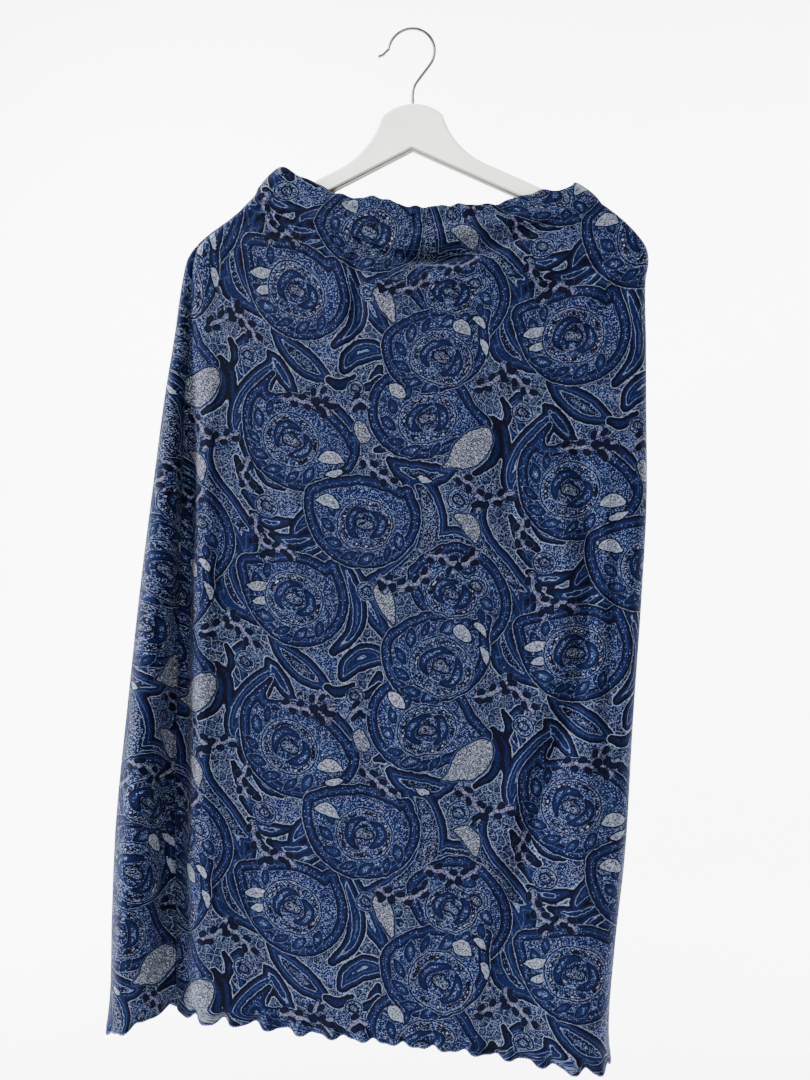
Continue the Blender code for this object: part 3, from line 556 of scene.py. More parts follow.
# Each layer: how far out it paints, then its bands from the distance given (mm, negative inside),
# with the band's colour and its share of specks (negative for dark ones). Later layers lie on top.
commaBands = [
    (-99, "mid", 0.18), (-20, "royal", 0.22), (-10.4, "dim", 0.1), (-9.8, "ink", 0.0), (-9.1, "navy", -0.05),
    (-7.4, "royal", 0.06), (-5.3, "dim", 0.0), (-4.8, "royal", 0.05), (-2.0, "navy", 0.0), (-0.8, "ink", 0.0),
    (0.0, "navy", 0.0), (0.6, "light", 0.1), (1.1, "navy", 0.1),
]
printStyles = {
    "patch": (0, [(-99, "royal", 0.3)]),
    "tongue": (1.7, [
        (-99, "navy", 0.3), (-10.6, "dim", 0.0), (-10.0, "navy", 0.1), (-7.4, "light", 0.0),
        (-6.9, "royal", -0.1), (-4.4, "dim", 0.0), (-3.9, "royal", -0.12), (-1.7, "ink", 0.0),
        (-0.7, "black", 0.0), (0.3, "navy", 0.0), (0.9, "light", 0.1)]),
    "tongue2": (1.6, [
        (-99, "mid", 0.3), (-11.0, "light", 0.0), (-10.4, "royal", -0.1), (-7.8, "dim", 0.0),
        (-7.3, "royal", -0.1), (-4.8, "light", 0.0), (-4.3, "royal", -0.12), (-2.0, "ink", 0.0),
        (-0.9, "black", 0.0), (0.2, "navy", 0.0), (0.8, "light", 0.1)]),
    "comma": (1.8, commaBands),
    "comma2": (1.8, commaBands),
    "leaf": (0.9, [(-99, "dim", 0.2), (-3.4, "mid", 0.1), (-2.2, "royal", 0.0), (-0.7, "black", 0.0),
                   (0.2, "dim", 0.1)]),
    "petal": (0.7, [(-99, "pale", -0.3), (-1.6, "light", 0.0), (-0.4, "black", 0.0)]),
    "ring": (0.9, [
        (-99, "royal", 0.2), (-12.6, "light", 0.3), (-12.0, "black", 0.0), (-11.4, "mid", 0.25),
        (-7.1, "black", 0.2), (-6.7, "royal", 0.28), (-2.0, "dim", 0.4), (-1.1, "black", 0.0),
        (0.1, "dim", 0.3)]),
    "crescent": (0.9, [(-99, "mid", 0.25), (-2.6, "royal", -0.1), (-0.9, "navy", 0.0), (-0.2, "ink", 0.0),
                       (0.4, "dim", 0.1)]),
    "core": (0.9, [(-99, "ink", 0.4), (-1.3, "dim", 0.0), (-0.6, "black", 0.0)]),
    "bead": (0.6, [(-99, "pale", 0.0), (-0.2, "black", 0.0)]),
    "pebble": (1.8, [(-99, "pale", -0.5), (-0.2, "navy", 0.0), (1.0, "dim", 0.0)]),
    "web": (2.6, [(-99, "mauve", -0.3), (0.4, "dim", 0.2), (0.9, "ink", 0.2), (1.9, "royal", 0.4)]),
    "bud": (0.5, [(-99, "navy", -0.1), (-1.0, "black", 0.0), (0.2, "dim", 0.0)]),
}
printOrder = list(printStyles)


def newMaterial(name, roughness=0.5, metallic=0.0, specular=0.5):
    made = bpy.data.materials.new(name)
    made.use_nodes = True
    shader = made.node_tree.nodes["Principled BSDF"]
    shader.inputs["Roughness"].default_value = roughness
    shader.inputs["Metallic"].default_value = metallic
    shader.inputs["Specular IOR Level"].default_value = specular
    return made, shader


def feed(tree, socket, value):  # sets a number, a colour or a vector, or links another node's output
    if isinstance(value, (int, float)):
        socket.default_value = value
    elif isinstance(value, (tuple, list)):
        socket.default_value = (*value, 1)[:len(socket.default_value)]
    else:
        tree.links.new(value, socket)


def addNode(tree, kind, inputs=None, **settings):
    made = tree.nodes.new(kind)
    for name, value in settings.items():
        setattr(made, name, value)
    for name, value in (inputs or {}).items():
        feed(tree, made.inputs[name], value)
    return made


def mathNode(tree, operation, first, second=0.0):
    return addNode(tree, "ShaderNodeMath", {0: first, 1: second}, operation=operation).outputs[0]


def mixColours(tree, share, first, second, blend="MIX"):
    inputs = {0: share, 6: first, 7: second}
    return addNode(tree, "ShaderNodeMix", inputs, data_type="RGBA", blend_type=blend).outputs[2]


def mapRange(tree, value, low, high, toLow=0.0, toHigh=1.0):
    inputs = {"Value": value, "From Min": low, "From Max": high, "To Min": toLow, "To Max": toHigh}
    return addNode(tree, "ShaderNodeMapRange", inputs).outputs["Result"]


def addNoise(tree, place, scale, detail=2.0, distortion=0.0, dimensions="2D"):
    inputs = {"Vector": place, "Scale": scale, "Detail": detail, "Distortion": distortion}
    return addNode(tree, "ShaderNodeTexNoise", inputs, noise_dimensions=dimensions)


def addGrey(tree, value):
    return addNode(tree, "ShaderNodeCombineColor", {0: value, 1: value, 2: value}).outputs[0]


def addBump(tree, shader, height, strength, distance):  # distance in metres
    bump = addNode(tree, "ShaderNodeBump", {"Strength": strength, "Distance": distance, "Height": height})
    tree.links.new(bump.outputs["Normal"], shader.inputs["Normal"])


def ramp(tree, share, stops):
    made = addNode(tree, "ShaderNodeValToRGB", {"Fac": share})
    elements = made.color_ramp.elements
    while len(elements) < len(stops):
        elements.new(0.5)
    for element, (place, colour) in zip(elements, stops):
        element.position = place
    for element, (place, colour) in zip(elements, stops):
        element.position = place
        element.color = colour
    return made


def colourStops(rows):  # rows of place, colour's name and alpha
    return [(place, (*colours[name], alpha)) for place, name, alpha in rows]


def layerStops(bands, valueOf):  # each band keeps its value, with a short soft step to the next
    low = clothLook["fieldLow"]
    span = clothLook["fieldHigh"] - low
    soft = clothLook["softEdge"] / 2
    stops = [(0.0, valueOf(bands[0]))]
    for before, after in zip(bands, bands[1:]):
        stops.append(((after[0] - soft - low) / span, valueOf(before)))
        stops.append(((after[0] + soft - low) / span, valueOf(after)))
    return stops + [(1.0, valueOf(bands[-1]))]


clothLook = {
    "roughness": 0.78,
    "specular": 0.05,
    "sheen": 0.02,
    "sheenRoughness": 0.45,
    "softEdge": 0.4,         # mm from one band's colour to the next
    "fieldLow": -30.0,       # mm, the distances that the bands cover
    "fieldHigh": 10.0,
    "shake": 0.45,           # mm by which lines wander
    "shakeScale": 230.0,
    "shakeDetail": 1.5,
    "cloudScale": 28.0,      # plain clouds over the ground's lines
    "cloudDetail": 3.0,
    "cloudEdge": (0.46, 0.6),
    "cloudSpecks": 0.63,
    "flowScale": 42.0,
    "flowDetail": 0.6,
    "flowDistortion": 0.9,
    "flowLevels": 9.0,
    "flowBands": [           # share of the way to the next level, colour, specks (0.5 for none)
        (0.0, "black", 0.5), (0.11, "black", 0.5), (0.15, "navy", 0.55), (0.36, "royal", 0.6),
        (0.39, "light", 0.55), (0.46, "light", 0.55), (0.5, "navy", 0.66), (0.72, "royal", 0.68),
        (0.76, "dim", 0.6), (0.82, "navy", 0.55), (0.95, "black", 0.5), (1.0, "black", 0.5)],
    "fillerShare": 0.8,
    "fillerSize": 7.0,       # mm across the ground's small shapes
    "fillerUneven": 0.9,
    "fillerBendScale": 150.0,
    "fillerBend": (0.004, 0.004, 0.0),  # metres
    "fillerRim": [           # distance from a cell's edge, colour, cover
        (0.0, "light", 0.75), (0.05, "light", 0.75), (0.075, "black", 0.9), (0.13, "black", 0.85),
        (0.17, "royal", 0.75), (1.0, "royal", 0.75)],
    "fillerHeart": [         # distance from a cell's middle, colour, cover
        (0.0, "black", 1.0), (0.1, "black", 1.0), (0.14, "light", 1.0), (0.2, "dim", 0.9),
        (0.24, "royal", 0.0), (1.0, "royal", 0.0)],
    "fillerFull": (0.35, 0.4),  # a cell's own number from which it is painted right through
    "fillerRimEnd": (0.17, 0.14),
    "speckSize": 0.98,       # mm between specks
    "speckEdge": (0.62, 0.38),
    "speckKept": 1.5,
    "speckCover": 0.8,
    "speckDarkCover": 0.85,
    "speckTintScale": 40.0,
    "speckTintEdge": (0.45, 0.62),
    "speckLight": linear(160, 172, 200),
    "speckWarm": linear(162, 166, 184),
    "speckDark": linear(8, 16, 52),
    "grainScale": 420.0,     # uneven take-up of the ink
    "grainRange": (0.3, 0.7, 0.72, 1.3),
    "reversePale": 0.62,
    "reverseColour": linear(120, 132, 160),
    "brightness": 0.47,
    "contrast": 1.5,
    "ribPitch": 0.95,        # mm from a wale's top to the groove beside it
    "ribDistortion": 0.6,
    "ribHeight": 0.6,
    "grainHeight": 0.8,
    "bump": (0.25, 0.0003),  # strength, metres
}


def fillerPattern(tree, uv, base, share):
    # small scale-like shapes with pale rims and dark outlines, and a heart in each
    look = clothLook
    bend = addNoise(tree, uv, look["fillerBendScale"]).outputs["Color"]
    moved = addNode(tree, "ShaderNodeVectorMath", {0: bend, 1: look["fillerBend"], 2: uv},
                    operation="MULTIPLY_ADD").outputs[0]
    inputs = {"Vector": moved, "Scale": 1000 / look["fillerSize"], "Randomness": look["fillerUneven"]}
    cells, edges = [addNode(tree, "ShaderNodeTexVoronoi", inputs, voronoi_dimensions="2D", feature=feature)
                    for feature in ("F1", "DISTANCE_TO_EDGE")]
    fromEdge = edges.outputs["Distance"]
    rim = ramp(tree, fromEdge, colourStops(look["fillerRim"]))
    heart = ramp(tree, cells.outputs["Distance"], colourStops(look["fillerHeart"]))
    ownNumber = addNode(tree, "ShaderNodeSeparateColor", {0: cells.outputs["Color"]}).outputs[1]
    painted = mathNode(tree, "MAXIMUM", mapRange(tree, ownNumber, *look["fillerFull"]),
                       mapRange(tree, fromEdge, *look["fillerRimEnd"]))
    covered = mathNode(tree, "MULTIPLY", rim.outputs["Alpha"], painted)
    base = mixColours(tree, mathNode(tree, "MULTIPLY", covered, share), base, rim.outputs["Color"])
    hearts = mathNode(tree, "MULTIPLY", heart.outputs["Alpha"], share)
    return mixColours(tree, hearts, base, heart.outputs["Color"])


def clothMaterial(name, reverse=False):
    look = clothLook
    made, shader = newMaterial(name, look["roughness"], specular=look["specular"])
    tree = made.node_tree
    shader.inputs["Sheen Weight"].default_value = look["sheen"]
    shader.inputs["Sheen Roughness"].default_value = look["sheenRoughness"]
    uv = addNode(tree, "ShaderNodeUVMap", uv_map="cloth").outputs["UV"]
    # ground: flowing lines, the levels of a soft noise as on a map, with plain clouds over them
    clouds = addNoise(tree, uv, look["cloudScale"], look["cloudDetail"]).outputs["Fac"]
    cloud = mapRange(tree, clouds, *look["cloudEdge"])
    flow = addNoise(tree, uv, look["flowScale"], look["flowDetail"], look["flowDistortion"]).outputs["Fac"]
    level = mathNode(tree, "FRACT", mathNode(tree, "MULTIPLY", flow, look["flowLevels"]))
    lines = ramp(tree, level, colourStops(look["flowBands"]))
    base = mixColours(tree, cloud, lines.outputs["Color"], colours["navy"])
    density = mixColours(tree, cloud, lines.outputs["Alpha"], (look["cloudSpecks"],) * 3)
    filler = (look["fillerShare"],) * 3
    # a small unevenness of every drawn line
    shake = addNoise(tree, uv, look["shakeScale"], look["shakeDetail"]).outputs["Fac"]
    shaken = addGrey(tree, mapRange(tree, shake, 0.2, 0.8, -look["shake"], look["shake"]))
    sockets = []
    for k in range((len(printOrder) + 2) // 3):
        stored = addNode(tree, "ShaderNodeAttribute", attribute_name=f"print{k}").outputs["Vector"]
        uneven = addNode(tree, "ShaderNodeVectorMath", {0: stored, 1: shaken}, operation="ADD").outputs[0]
        sockets += list(addNode(tree, "ShaderNodeSeparateXYZ", {0: uneven}).outputs)
    # the print's layers, one over the other; none of them keeps the ground's small shapes
    half = look["softEdge"] / 2
    for name, field in zip(printOrder, sockets):
        top, bands = printStyles[name]
        share = mapRange(tree, field, look["fieldLow"], look["fieldHigh"])
        shade = ramp(tree, share, layerStops(bands, lambda band: (*colours[band[1]], 1)))
        thick = ramp(tree, share, layerStops(bands, lambda band: (*([band[2] * 0.5 + 0.5] * 3), 1)))
        inside = mapRange(tree, field, top + half, top - half)
        base = mixColours(tree, inside, base, shade.outputs["Color"])
        density = mixColours(tree, inside, density, thick.outputs["Color"])
        filler = mixColours(tree, inside, filler, (0.0, 0.0, 0.0))
    # specks: a dot in each cell of a fine net, kept where the cell's own number is under the density
    cells = addNode(tree, "ShaderNodeTexVoronoi", {"Vector": uv, "Scale": 1000 / look["speckSize"]},
                    voronoi_dimensions="2D", feature="F1")
    ownNumber = addNode(tree, "ShaderNodeSeparateColor", {0: cells.outputs["Color"]}).outputs[0]
    amount = mathNode(tree, "MULTIPLY", mathNode(tree, "SUBTRACT", density, 0.5), 2.0)
    dot = mapRange(tree, cells.outputs["Distance"], *look["speckEdge"])
    tint = addNoise(tree, uv, look["speckTintScale"]).outputs["Fac"]
    paleSpeck = mixColours(tree, mapRange(tree, tint, *look["speckTintEdge"]), look["speckLight"],
                           look["speckWarm"])
    for keptUnder, cover, colour in ((look["speckKept"], look["speckCover"], paleSpeck),
                                     (-look["speckKept"], look["speckDarkCover"], look["speckDark"])):
        kept = mathNode(tree, "LESS_THAN", ownNumber, mathNode(tree, "MULTIPLY", amount, keptUnder))
        shown = mathNode(tree, "MULTIPLY", mathNode(tree, "MULTIPLY", dot, kept), cover)
        base = mixColours(tree, shown, base, colour)
    base = fillerPattern(tree, uv, base, filler)
    grain = addNoise(tree, uv, look["grainScale"]).outputs["Fac"]
    taken = addGrey(tree, mapRange(tree, grain, *look["grainRange"]))
    base = mixColours(tree, 1.0, base, taken, "MULTIPLY")
    if reverse:
        base = mixColours(tree, look["reversePale"], base, look["reverseColour"])
    base = addNode(tree, "ShaderNodeGamma", {"Color": base, "Gamma": look["contrast"]}).outputs[0]
    base = mixColours(tree, 1.0, base, (look["brightness"],) * 3, "MULTIPLY")
    tree.links.new(base, shader.inputs["Base Color"])
    # knit: fine wales down the cloth, the sine of 20 times the scaled place across
    wales = addNode(tree, "ShaderNodeTexWave", {
        "Vector": uv, "Scale": 1000 / look["ribPitch"] / 20 * math.pi, "Distortion": look["ribDistortion"],
        "Detail": 1.0}, wave_type="BANDS", bands_direction="X").outputs["Fac"]
    height = mathNode(tree, "ADD", mathNode(tree, "MULTIPLY", wales, look["ribHeight"]),
                      mathNode(tree, "MULTIPLY", grain, look["grainHeight"]))
    addBump(tree, shader, height, *look["bump"])
    return made


def gridFaces(rows, columns, first=0, wrap=False):  # quads of a grid of points, ring by ring
    start = np.arange(rows - 1)[:, None] * columns
    place = np.arange(columns if wrap else columns - 1)
    a = start + place
    b = start + (place + 1) % columns
    return (np.stack([a, b, b + columns, a + columns], axis=-1).reshape(-1, 4) + first).tolist()


def buildObject(name, points, faces, materials, uv=None, faceMaterial=None):
    mesh = bpy.data.meshes.new(name)
    mesh.from_pydata([tuple(p) for p in points * mm], [], faces)
    mesh.update()
    for made in materials:
        mesh.materials.append(made)
    if faceMaterial is not None:
        mesh.polygons.foreach_set("material_index", np.asarray(faceMaterial, np.int32))
    corners = np.empty(len(mesh.loops), np.int32)
    mesh.loops.foreach_get("vertex_index", corners)
    if uv is not None:
        layer = mesh.uv_layers.new(name="cloth")
        layer.data.foreach_set("uv", (uv[corners] * mm).astype(np.float32).ravel())
    mesh.shade_smooth()
    obj = bpy.data.objects.new(name, mesh)
    bpy.context.scene.collection.objects.link(obj)
    return obj


# Creases: soft troughs (negative) and ridges (positive) along short paths, in x and height on one side,
# with the width in the middle and the rise. They taper at both ends.
creases = {
    "front": [
        ([(-84, -184), (-36, -206), (24, -219), (80, -214), (116, -198)], 8, -5.4),
        ([(-110, -196), (-44, -222), (24, -236), (84, -230), (116, -216)], 6, 2.2),
        ([(-30, -226), (30, -246), (92, -240)], 7, -1.8),
        ([(96, -190), (146, -200), (192, -214)], 7, -2.2),
        ([(-186, -200), (-140, -230), (-92, -246)], 9, -2.4),
        ([(-196, -222), (-160, -262), (-120, -300)], 11, -1.8),
        ([(-170, -200), (-128, -214), (-84, -216)], 7, 1.8),
        ([(208, -215), (160, -242), (110, -258)], 10, -2.6),
        ([(206, -232), (168, -268), (128, -284)], 9, 1.8),
        ([(215, -240), (180, -290), (150, -330)], 12, -2.0),
        ([(-52, -210), (-43, -248), (-40, -300)], 7, -3.2),
        ([(-64, -230), (-60, -300), (-70, -372)], 10, 1.8),
        ([(60, -238), (72, -300), (76, -350)], 12, -1.6),
        ([(128, -330), (150, -420), (160, -500), (156, -600), (130, -690), (98, -830), (90, -930)], 13, 4.2),
        ([(152, -342), (174, -420), (186, -510), (180, -606), (154, -700), (122, -840), (116, -940)], 10, -4.6),
        ([(96, -372), (103, -430), (112, -500)], 9, -2.4),
        ([(206, -430), (208, -560), (202, -720)], 8, -3.0),
        ([(188, -640), (182, -760), (178, -880)], 12, 2.2),
        ([(-128, -420), (-122, -520), (-134, -650)], 14, -2.0),
        ([(-104, -430), (-100, -530), (-112, -640)], 11, 1.4),
        ([(-22, -540), (-14, -690), (-24, -840)], 16, -1.9),
        ([(10, -560), (16, -690), (8, -820)], 15, 1.5),
        ([(66, -400), (58, -500), (64, -600)], 15, 1.8),
        ([(-64, -700), (-74, -820), (-68, -940)], 13, 2.2),
        ([(-122, -760), (-130, -860), (-124, -950)], 12, -2.2),
        ([(52, -820), (44, -890), (48, -960)], 11, -1.8),
        ([(160, -820), (164, -890), (158, -960)], 11, 2.0),
        ([(-184, -290), (-185, -420), (-182, -560), (-184, -740)], 9, 3.0),
        ([(-202, -310), (-206, -450), (-209, -640)], 9, -5.0),
        ([(-208, -520), (-210, -720), (-212, -975)], 13, -8.0),
        ([(-178, -640), (-172, -800), (-170, -960)], 11, 2.2),
        ([(-198, -820), (-194, -900), (-190, -975)], 6, -2.4),
        ([(-214, -270), (-228, -500), (-242, -740), (-256, -985)], 12, 8.5),
    ],
    "back": [
        ([(-150, -200), (-80, -222), (0, -230), (80, -222)], 7, -3.0),
        ([(-40, -214), (30, -224), (110, -210)], 6, -2.4),
        ([(-120, -216), (-40, -238), (60, -240)], 7, 1.8),
        ([(-190, -214), (-150, -244), (-108, -262)], 10, -2.4),
        ([(200, -212), (158, -240), (118, -262)], 10, -2.6),
        ([(210, -250), (180, -310), (160, -360)], 12, -2.0),
        ([(-200, -260), (-176, -330), (-160, -390)], 11, -2.0),
        ([(-30, -236), (-34, -300), (-26, -360)], 12, -2.2),
        ([(60, -420), (52, -560), (60, -680)], 13, -3.2),
        ([(84, -430), (78, -560), (86, -700)], 12, 2.4),
        ([(-100, -480), (-108, -620), (-100, -760)], 12, 3.0),
        ([(-78, -500), (-84, -620), (-78, -770)], 9, -3.2),
        ([(180, -460), (190, -600), (186, -720)], 12, 2.8),
        ([(-206, -560), (-212, -700), (-218, -840)], 11, -3.0),
        ([(122, -700), (112, -820), (118, -950)], 12, -3.0),
        ([(-20, -740), (-32, -850), (-26, -960)], 14, 2.4),
        ([(-150, -820), (-156, -890), (-150, -970)], 11, -2.2),
    ],
}


creaseForm = {"pathPoints": 28, "step": 3.0, "reach": 3, "endShare": 0.03, "taperPower": 0.8, "endWidth": 0.45}


def creaseRise(x, height, rows):  # each crease: a soft bell across its path, fading over its ends
    form = creaseForm
    rise = np.zeros_like(x)
    for path, width, depth in rows:
        line = smoothPath(path, form["pathPoints"])
        walked = np.concatenate([[0], np.cumsum(np.hypot(*np.diff(line, axis=0).T))])
        even = np.arange(0, walked[-1], form["step"])
        line = np.stack([np.interp(even, walked, line[:, k]) for k in (0, 1)], axis=1)
        low = line.min(0) - form["reach"] * width
        high = line.max(0) + form["reach"] * width
        near = (x > low[0]) & (x < high[0]) & (height > low[1]) & (height < high[1])
        if not near.any():
            continue
        gapX = x[near][:, None] - line[:, 0]
        gapZ = height[near][:, None] - line[:, 1]
        gaps = gapX**2 + gapZ**2
        at = gaps.argmin(axis=1)
        along = at / (len(line) - 1)
        taper = np.sin(math.pi * np.clip(along, form["endShare"], 1 - form["endShare"])) ** form["taperPower"]
        bell = width * (form["endWidth"] + (1 - form["endWidth"]) * taper)
        rise[near] += depth * taper * np.exp(-gaps.min(axis=1) / bell ** 2)
    return rise


# Front and back panels: rows down the cloth and columns evenly walked round it. The reverse side keeps
# every second row and column.
panelForm = {
    "wall": 1.1,
    "rows": 326,
    "hemRows": 16,           # of them in the last stretch, where the edge waves
    "hemStretch": 0.021,     # share of the length
    "columns": 228,
    "coarse": 2,
    "seamDip": 1.3,
    "seamReach": 2.2,
    "puckers": ((0.34, 61, 0.4), (0.26, 97, 1.7)),  # size, count round the tube, start
    "puckerReach": 38,
    "puckerStart": 6,        # mm below the seam at which they are full
    "creaseEnd": 0.97,       # across the tube, where creases fade before the outline
    "seamLevel": -196,       # height at which the print would meet a straight waist seam
    "levelReach": 85,
    "backStart": -271,       # x of the left outline where the back's print takes over
    "walkRows": 48,
    "walkPoints": 900,
}


def walkedLength(points, axis):
    steps = np.linalg.norm(np.diff(points, axis=axis), axis=-1)
    lead = np.zeros((1, steps.shape[1])) if axis == 0 else np.zeros((steps.shape[0], 1))
    return np.concatenate([lead, np.cumsum(steps, axis=axis)], axis=axis)


def panelEnds(v, side):  # places of a panel's two side edges
    left = 1 - seamShare(v, "leftSeam", -1)
    right = seamShare(v, "rightSeam", 1)
    return (-right, left) if side == "front" else (left, 2 - right)


def evenPlaces(v, side, columns):  # the places that share out each row's walked length evenly
    start, end = panelEnds(v, side)
    dense = np.linspace(0, 1, panelForm["walkPoints"])
    rows = np.linspace(0, 1, panelForm["walkRows"])
    rowStart, rowEnd = panelEnds(rows, side)
    places = rowStart[:, None] + (rowEnd - rowStart)[:, None] * dense
    walked = walkedLength(bodyPoint(places, rows[:, None]), 1)
    walked /= walked[:, -1:]
    even = np.linspace(0, 1, columns)
    shares = np.array([np.interp(even, row, dense) for row in walked])
    shares = np.array([np.interp(v, rows, shares[:, k]) for k in range(columns)]).T
    return start[:, None] + (end - start)[:, None] * shares


def printTop(seamHeight, below):
    # where the print starts: level with a straight waist seam on the cloth, and as it hangs further down
    share = np.exp(-((below / panelForm["levelReach"]) ** 2))
    return -seamHeight + (-panelForm["seamLevel"] + seamHeight) * share


def reliefOf(f, middle):  # creases and the waist's puckers, along the outward direction
    form = panelForm
    x, height = middle[..., 0], middle[..., 2]
    rise = np.where(isFront(f), *(creaseRise(x, height, creases[side]) for side in ("front", "back")))
    rise = rise * smoothStep(1.0, form["creaseEnd"], np.abs(acrossOf(f)))
    below = np.linalg.norm(middle - middle[:1], axis=-1)
    for size, count, start in form["puckers"]:
        fade = np.exp(-((below / form["puckerReach"]) ** 2)) * smoothStep(0, form["puckerStart"], below)
        rise = rise + size * np.sin(count * math.pi * f + start) * fade
    return rise


def clothPanel(name, side):
    # the hung form, moved along its outward direction by the sum of creases and puckers and by a dip
    # at both seams, then half the wall to each side
    form = panelForm
    rows, hemRows, columns = form["rows"], form["hemRows"], form["columns"]
    v = np.concatenate([np.linspace(0, 1 - form["hemStretch"], rows - hemRows),
                        np.linspace(1 - form["hemStretch"], 1, hemRows + 1)[1:]])
    f = evenPlaces(v, side, columns)
    middle = bodyPoint(f, v[:, None])
    outward = outwardOf(f, np.broadcast_to(v[:, None], f.shape))
    walk = walkedLength(middle, 1)
    fromEdge = np.minimum(walk, walk[:, -1:] - walk)
    rise = reliefOf(f, middle) - form["seamDip"] * hump(fromEdge, form["seamReach"])
    middle = middle + outward * rise[..., None]
    down = walkedLength(middle, 0)
    # across is the walked length from the line x = 0 on the front, or from the left outline on the back
    if side == "front":
        zero = np.array([np.interp(0, -row[place >= 0, 0], far[place >= 0])
                         for row, place, far in zip(middle, f, walk)])
        across = zero[:, None] - walk
    else:
        zero = np.array([np.interp(1, place, far) for place, far in zip(f, walk)])
        across = zero[:, None] - walk + form["backStart"]
    downAt = down + printTop(middle[:1, :, 2], down)
    outer = middle + outward * form["wall"] / 2
    inner = middle - outward * form["wall"] / 2
    pickedRows = np.unique(np.append(np.arange(0, rows, form["coarse"]), rows - 1))
    pickedColumns = np.unique(np.append(np.arange(0, columns, form["coarse"]), columns - 1))
    picked = np.ix_(pickedRows, pickedColumns)
    points = np.concatenate([outer.reshape(-1, 3), inner[picked].reshape(-1, 3)])
    across = np.concatenate([across.ravel(), across[picked].ravel()])
    downAt = np.concatenate([downAt.ravel(), downAt[picked].ravel()])
    first = rows * columns
    few = len(pickedColumns)
    faces = gridFaces(rows, columns)
    reverseFaces = [face[::-1] for face in gridFaces(len(pickedRows), few, first)]
    border = []
    for row, coarseRow, turned in ((0, 0, True), (rows - 1, len(pickedRows) - 1, False)):
        for k in range(few - 1):
            face = [row * columns + c for c in range(pickedColumns[k], pickedColumns[k + 1] + 1)]
            face += [first + coarseRow * few + k + 1, first + coarseRow * few + k]
            border.append(face[::-1] if turned else face)
    for column, coarseColumn, turned in ((0, 0, False), (columns - 1, few - 1, True)):
        for k in range(len(pickedRows) - 1):
            face = [r * columns + column for r in range(pickedRows[k], pickedRows[k + 1] + 1)]
            face += [first + (k + 1) * few + coarseColumn, first + k * few + coarseColumn]
            border.append(face[::-1] if turned else face)
    kinds = [0] * len(faces) + [1] * len(reverseFaces) + [0] * len(border)
    uv = np.stack([across, -downAt], axis=-1)
    obj = buildObject(name, points, faces + reverseFaces + border, [clothOutside, clothInside], uv, kinds)
    addPrint(obj.data, across, downAt, side == "front")
    return {"object": obj, "f": f, "middle": middle, "across": across[:first].reshape(rows, columns)}


clothOutside = clothMaterial("printedJersey")
clothInside = clothMaterial("jerseyReverse", reverse=True)
frontPanel = clothPanel("frontCloth", "front")
backPanel = clothPanel("backCloth", "back")
print("front and back cloth made")

# Rolled, overcast hem: a thin thread tube along each panel's wavy edge
hemForm = {
    "radius": 1.0,
    "sides": 8,
    "drop": 0.3,
    "uvRound": 6,            # mm of the thread's pattern round the tube
    "roughness": 0.7,
    "specular": 0.3,
    "wrapScale": 230.0,
    "wrapDistortion": 0.8,
    "tones": [(0.0, (*linear(14, 18, 42), 1)), (0.6, (*linear(34, 44, 84), 1)),
              (1.0, (*linear(66, 78, 112), 1))],
    "bump": (0.5, 0.0003),   # strength, metres
}


def tubeAlong(path, radius, sides):  # circles square to the path, closed with a point at each end
    along = unit(np.gradient(path, axis=0))
    across = unit(np.cross(along, np.array([0.0, 0.0, 1.0])))
    over = np.cross(across, along)
    turn = np.linspace(0, 2 * math.pi, sides, endpoint=False)
    ring = across[:, None] * np.cos(turn)[None, :, None] + over[:, None] * np.sin(turn)[None, :, None]
    points = np.concatenate([(path[:, None] + radius * ring).reshape(-1, 3), path[:1], path[-1:]])
    faces = gridFaces(len(path), sides, wrap=True)
    start, end = len(path) * sides, len(path) * sides + 1
    last = start - sides
    faces += [[start, k, (k + 1) % sides] for k in range(sides)]
    faces += [[end, last + (k + 1) % sides, last + k] for k in range(sides)]
    walked = walkedLength(path[None], 1)[0]
    roundIt = turn / (2 * math.pi) * hemForm["uvRound"]
    uv = np.stack([np.repeat(walked, sides), np.tile(roundIt, len(path))], axis=-1)
    uv = np.concatenate([uv, uv[:1], uv[-1:]])
    return points, faces, uv


def threadMaterial():
    look = hemForm
    made, shader = newMaterial("hemThread", look["roughness"], specular=look["specular"])
    tree = made.node_tree
    uv = addNode(tree, "ShaderNodeUVMap", uv_map="cloth").outputs["UV"]
    inputs = {"Vector": uv, "Scale": look["wrapScale"], "Distortion": look["wrapDistortion"]}
    wraps = addNode(tree, "ShaderNodeTexWave", inputs, wave_type="BANDS",
                    bands_direction="DIAGONAL").outputs["Fac"]
    tree.links.new(ramp(tree, wraps, look["tones"]).outputs["Color"], shader.inputs["Base Color"])
    addBump(tree, shader, wraps, *look["bump"])
    return made


threadFinish = threadMaterial()


def hemThread(name, panel):
    path = panel["middle"][-1].copy()
    path[:, 2] -= hemForm["drop"]
    points, faces, uv = tubeAlong(path, hemForm["radius"], hemForm["sides"])
    return buildObject(name, points, faces, [threadFinish], uv)


frontHem = hemThread("frontHemThread", frontPanel)
backHem = hemThread("backHemThread", backPanel)
print("hem threads made")

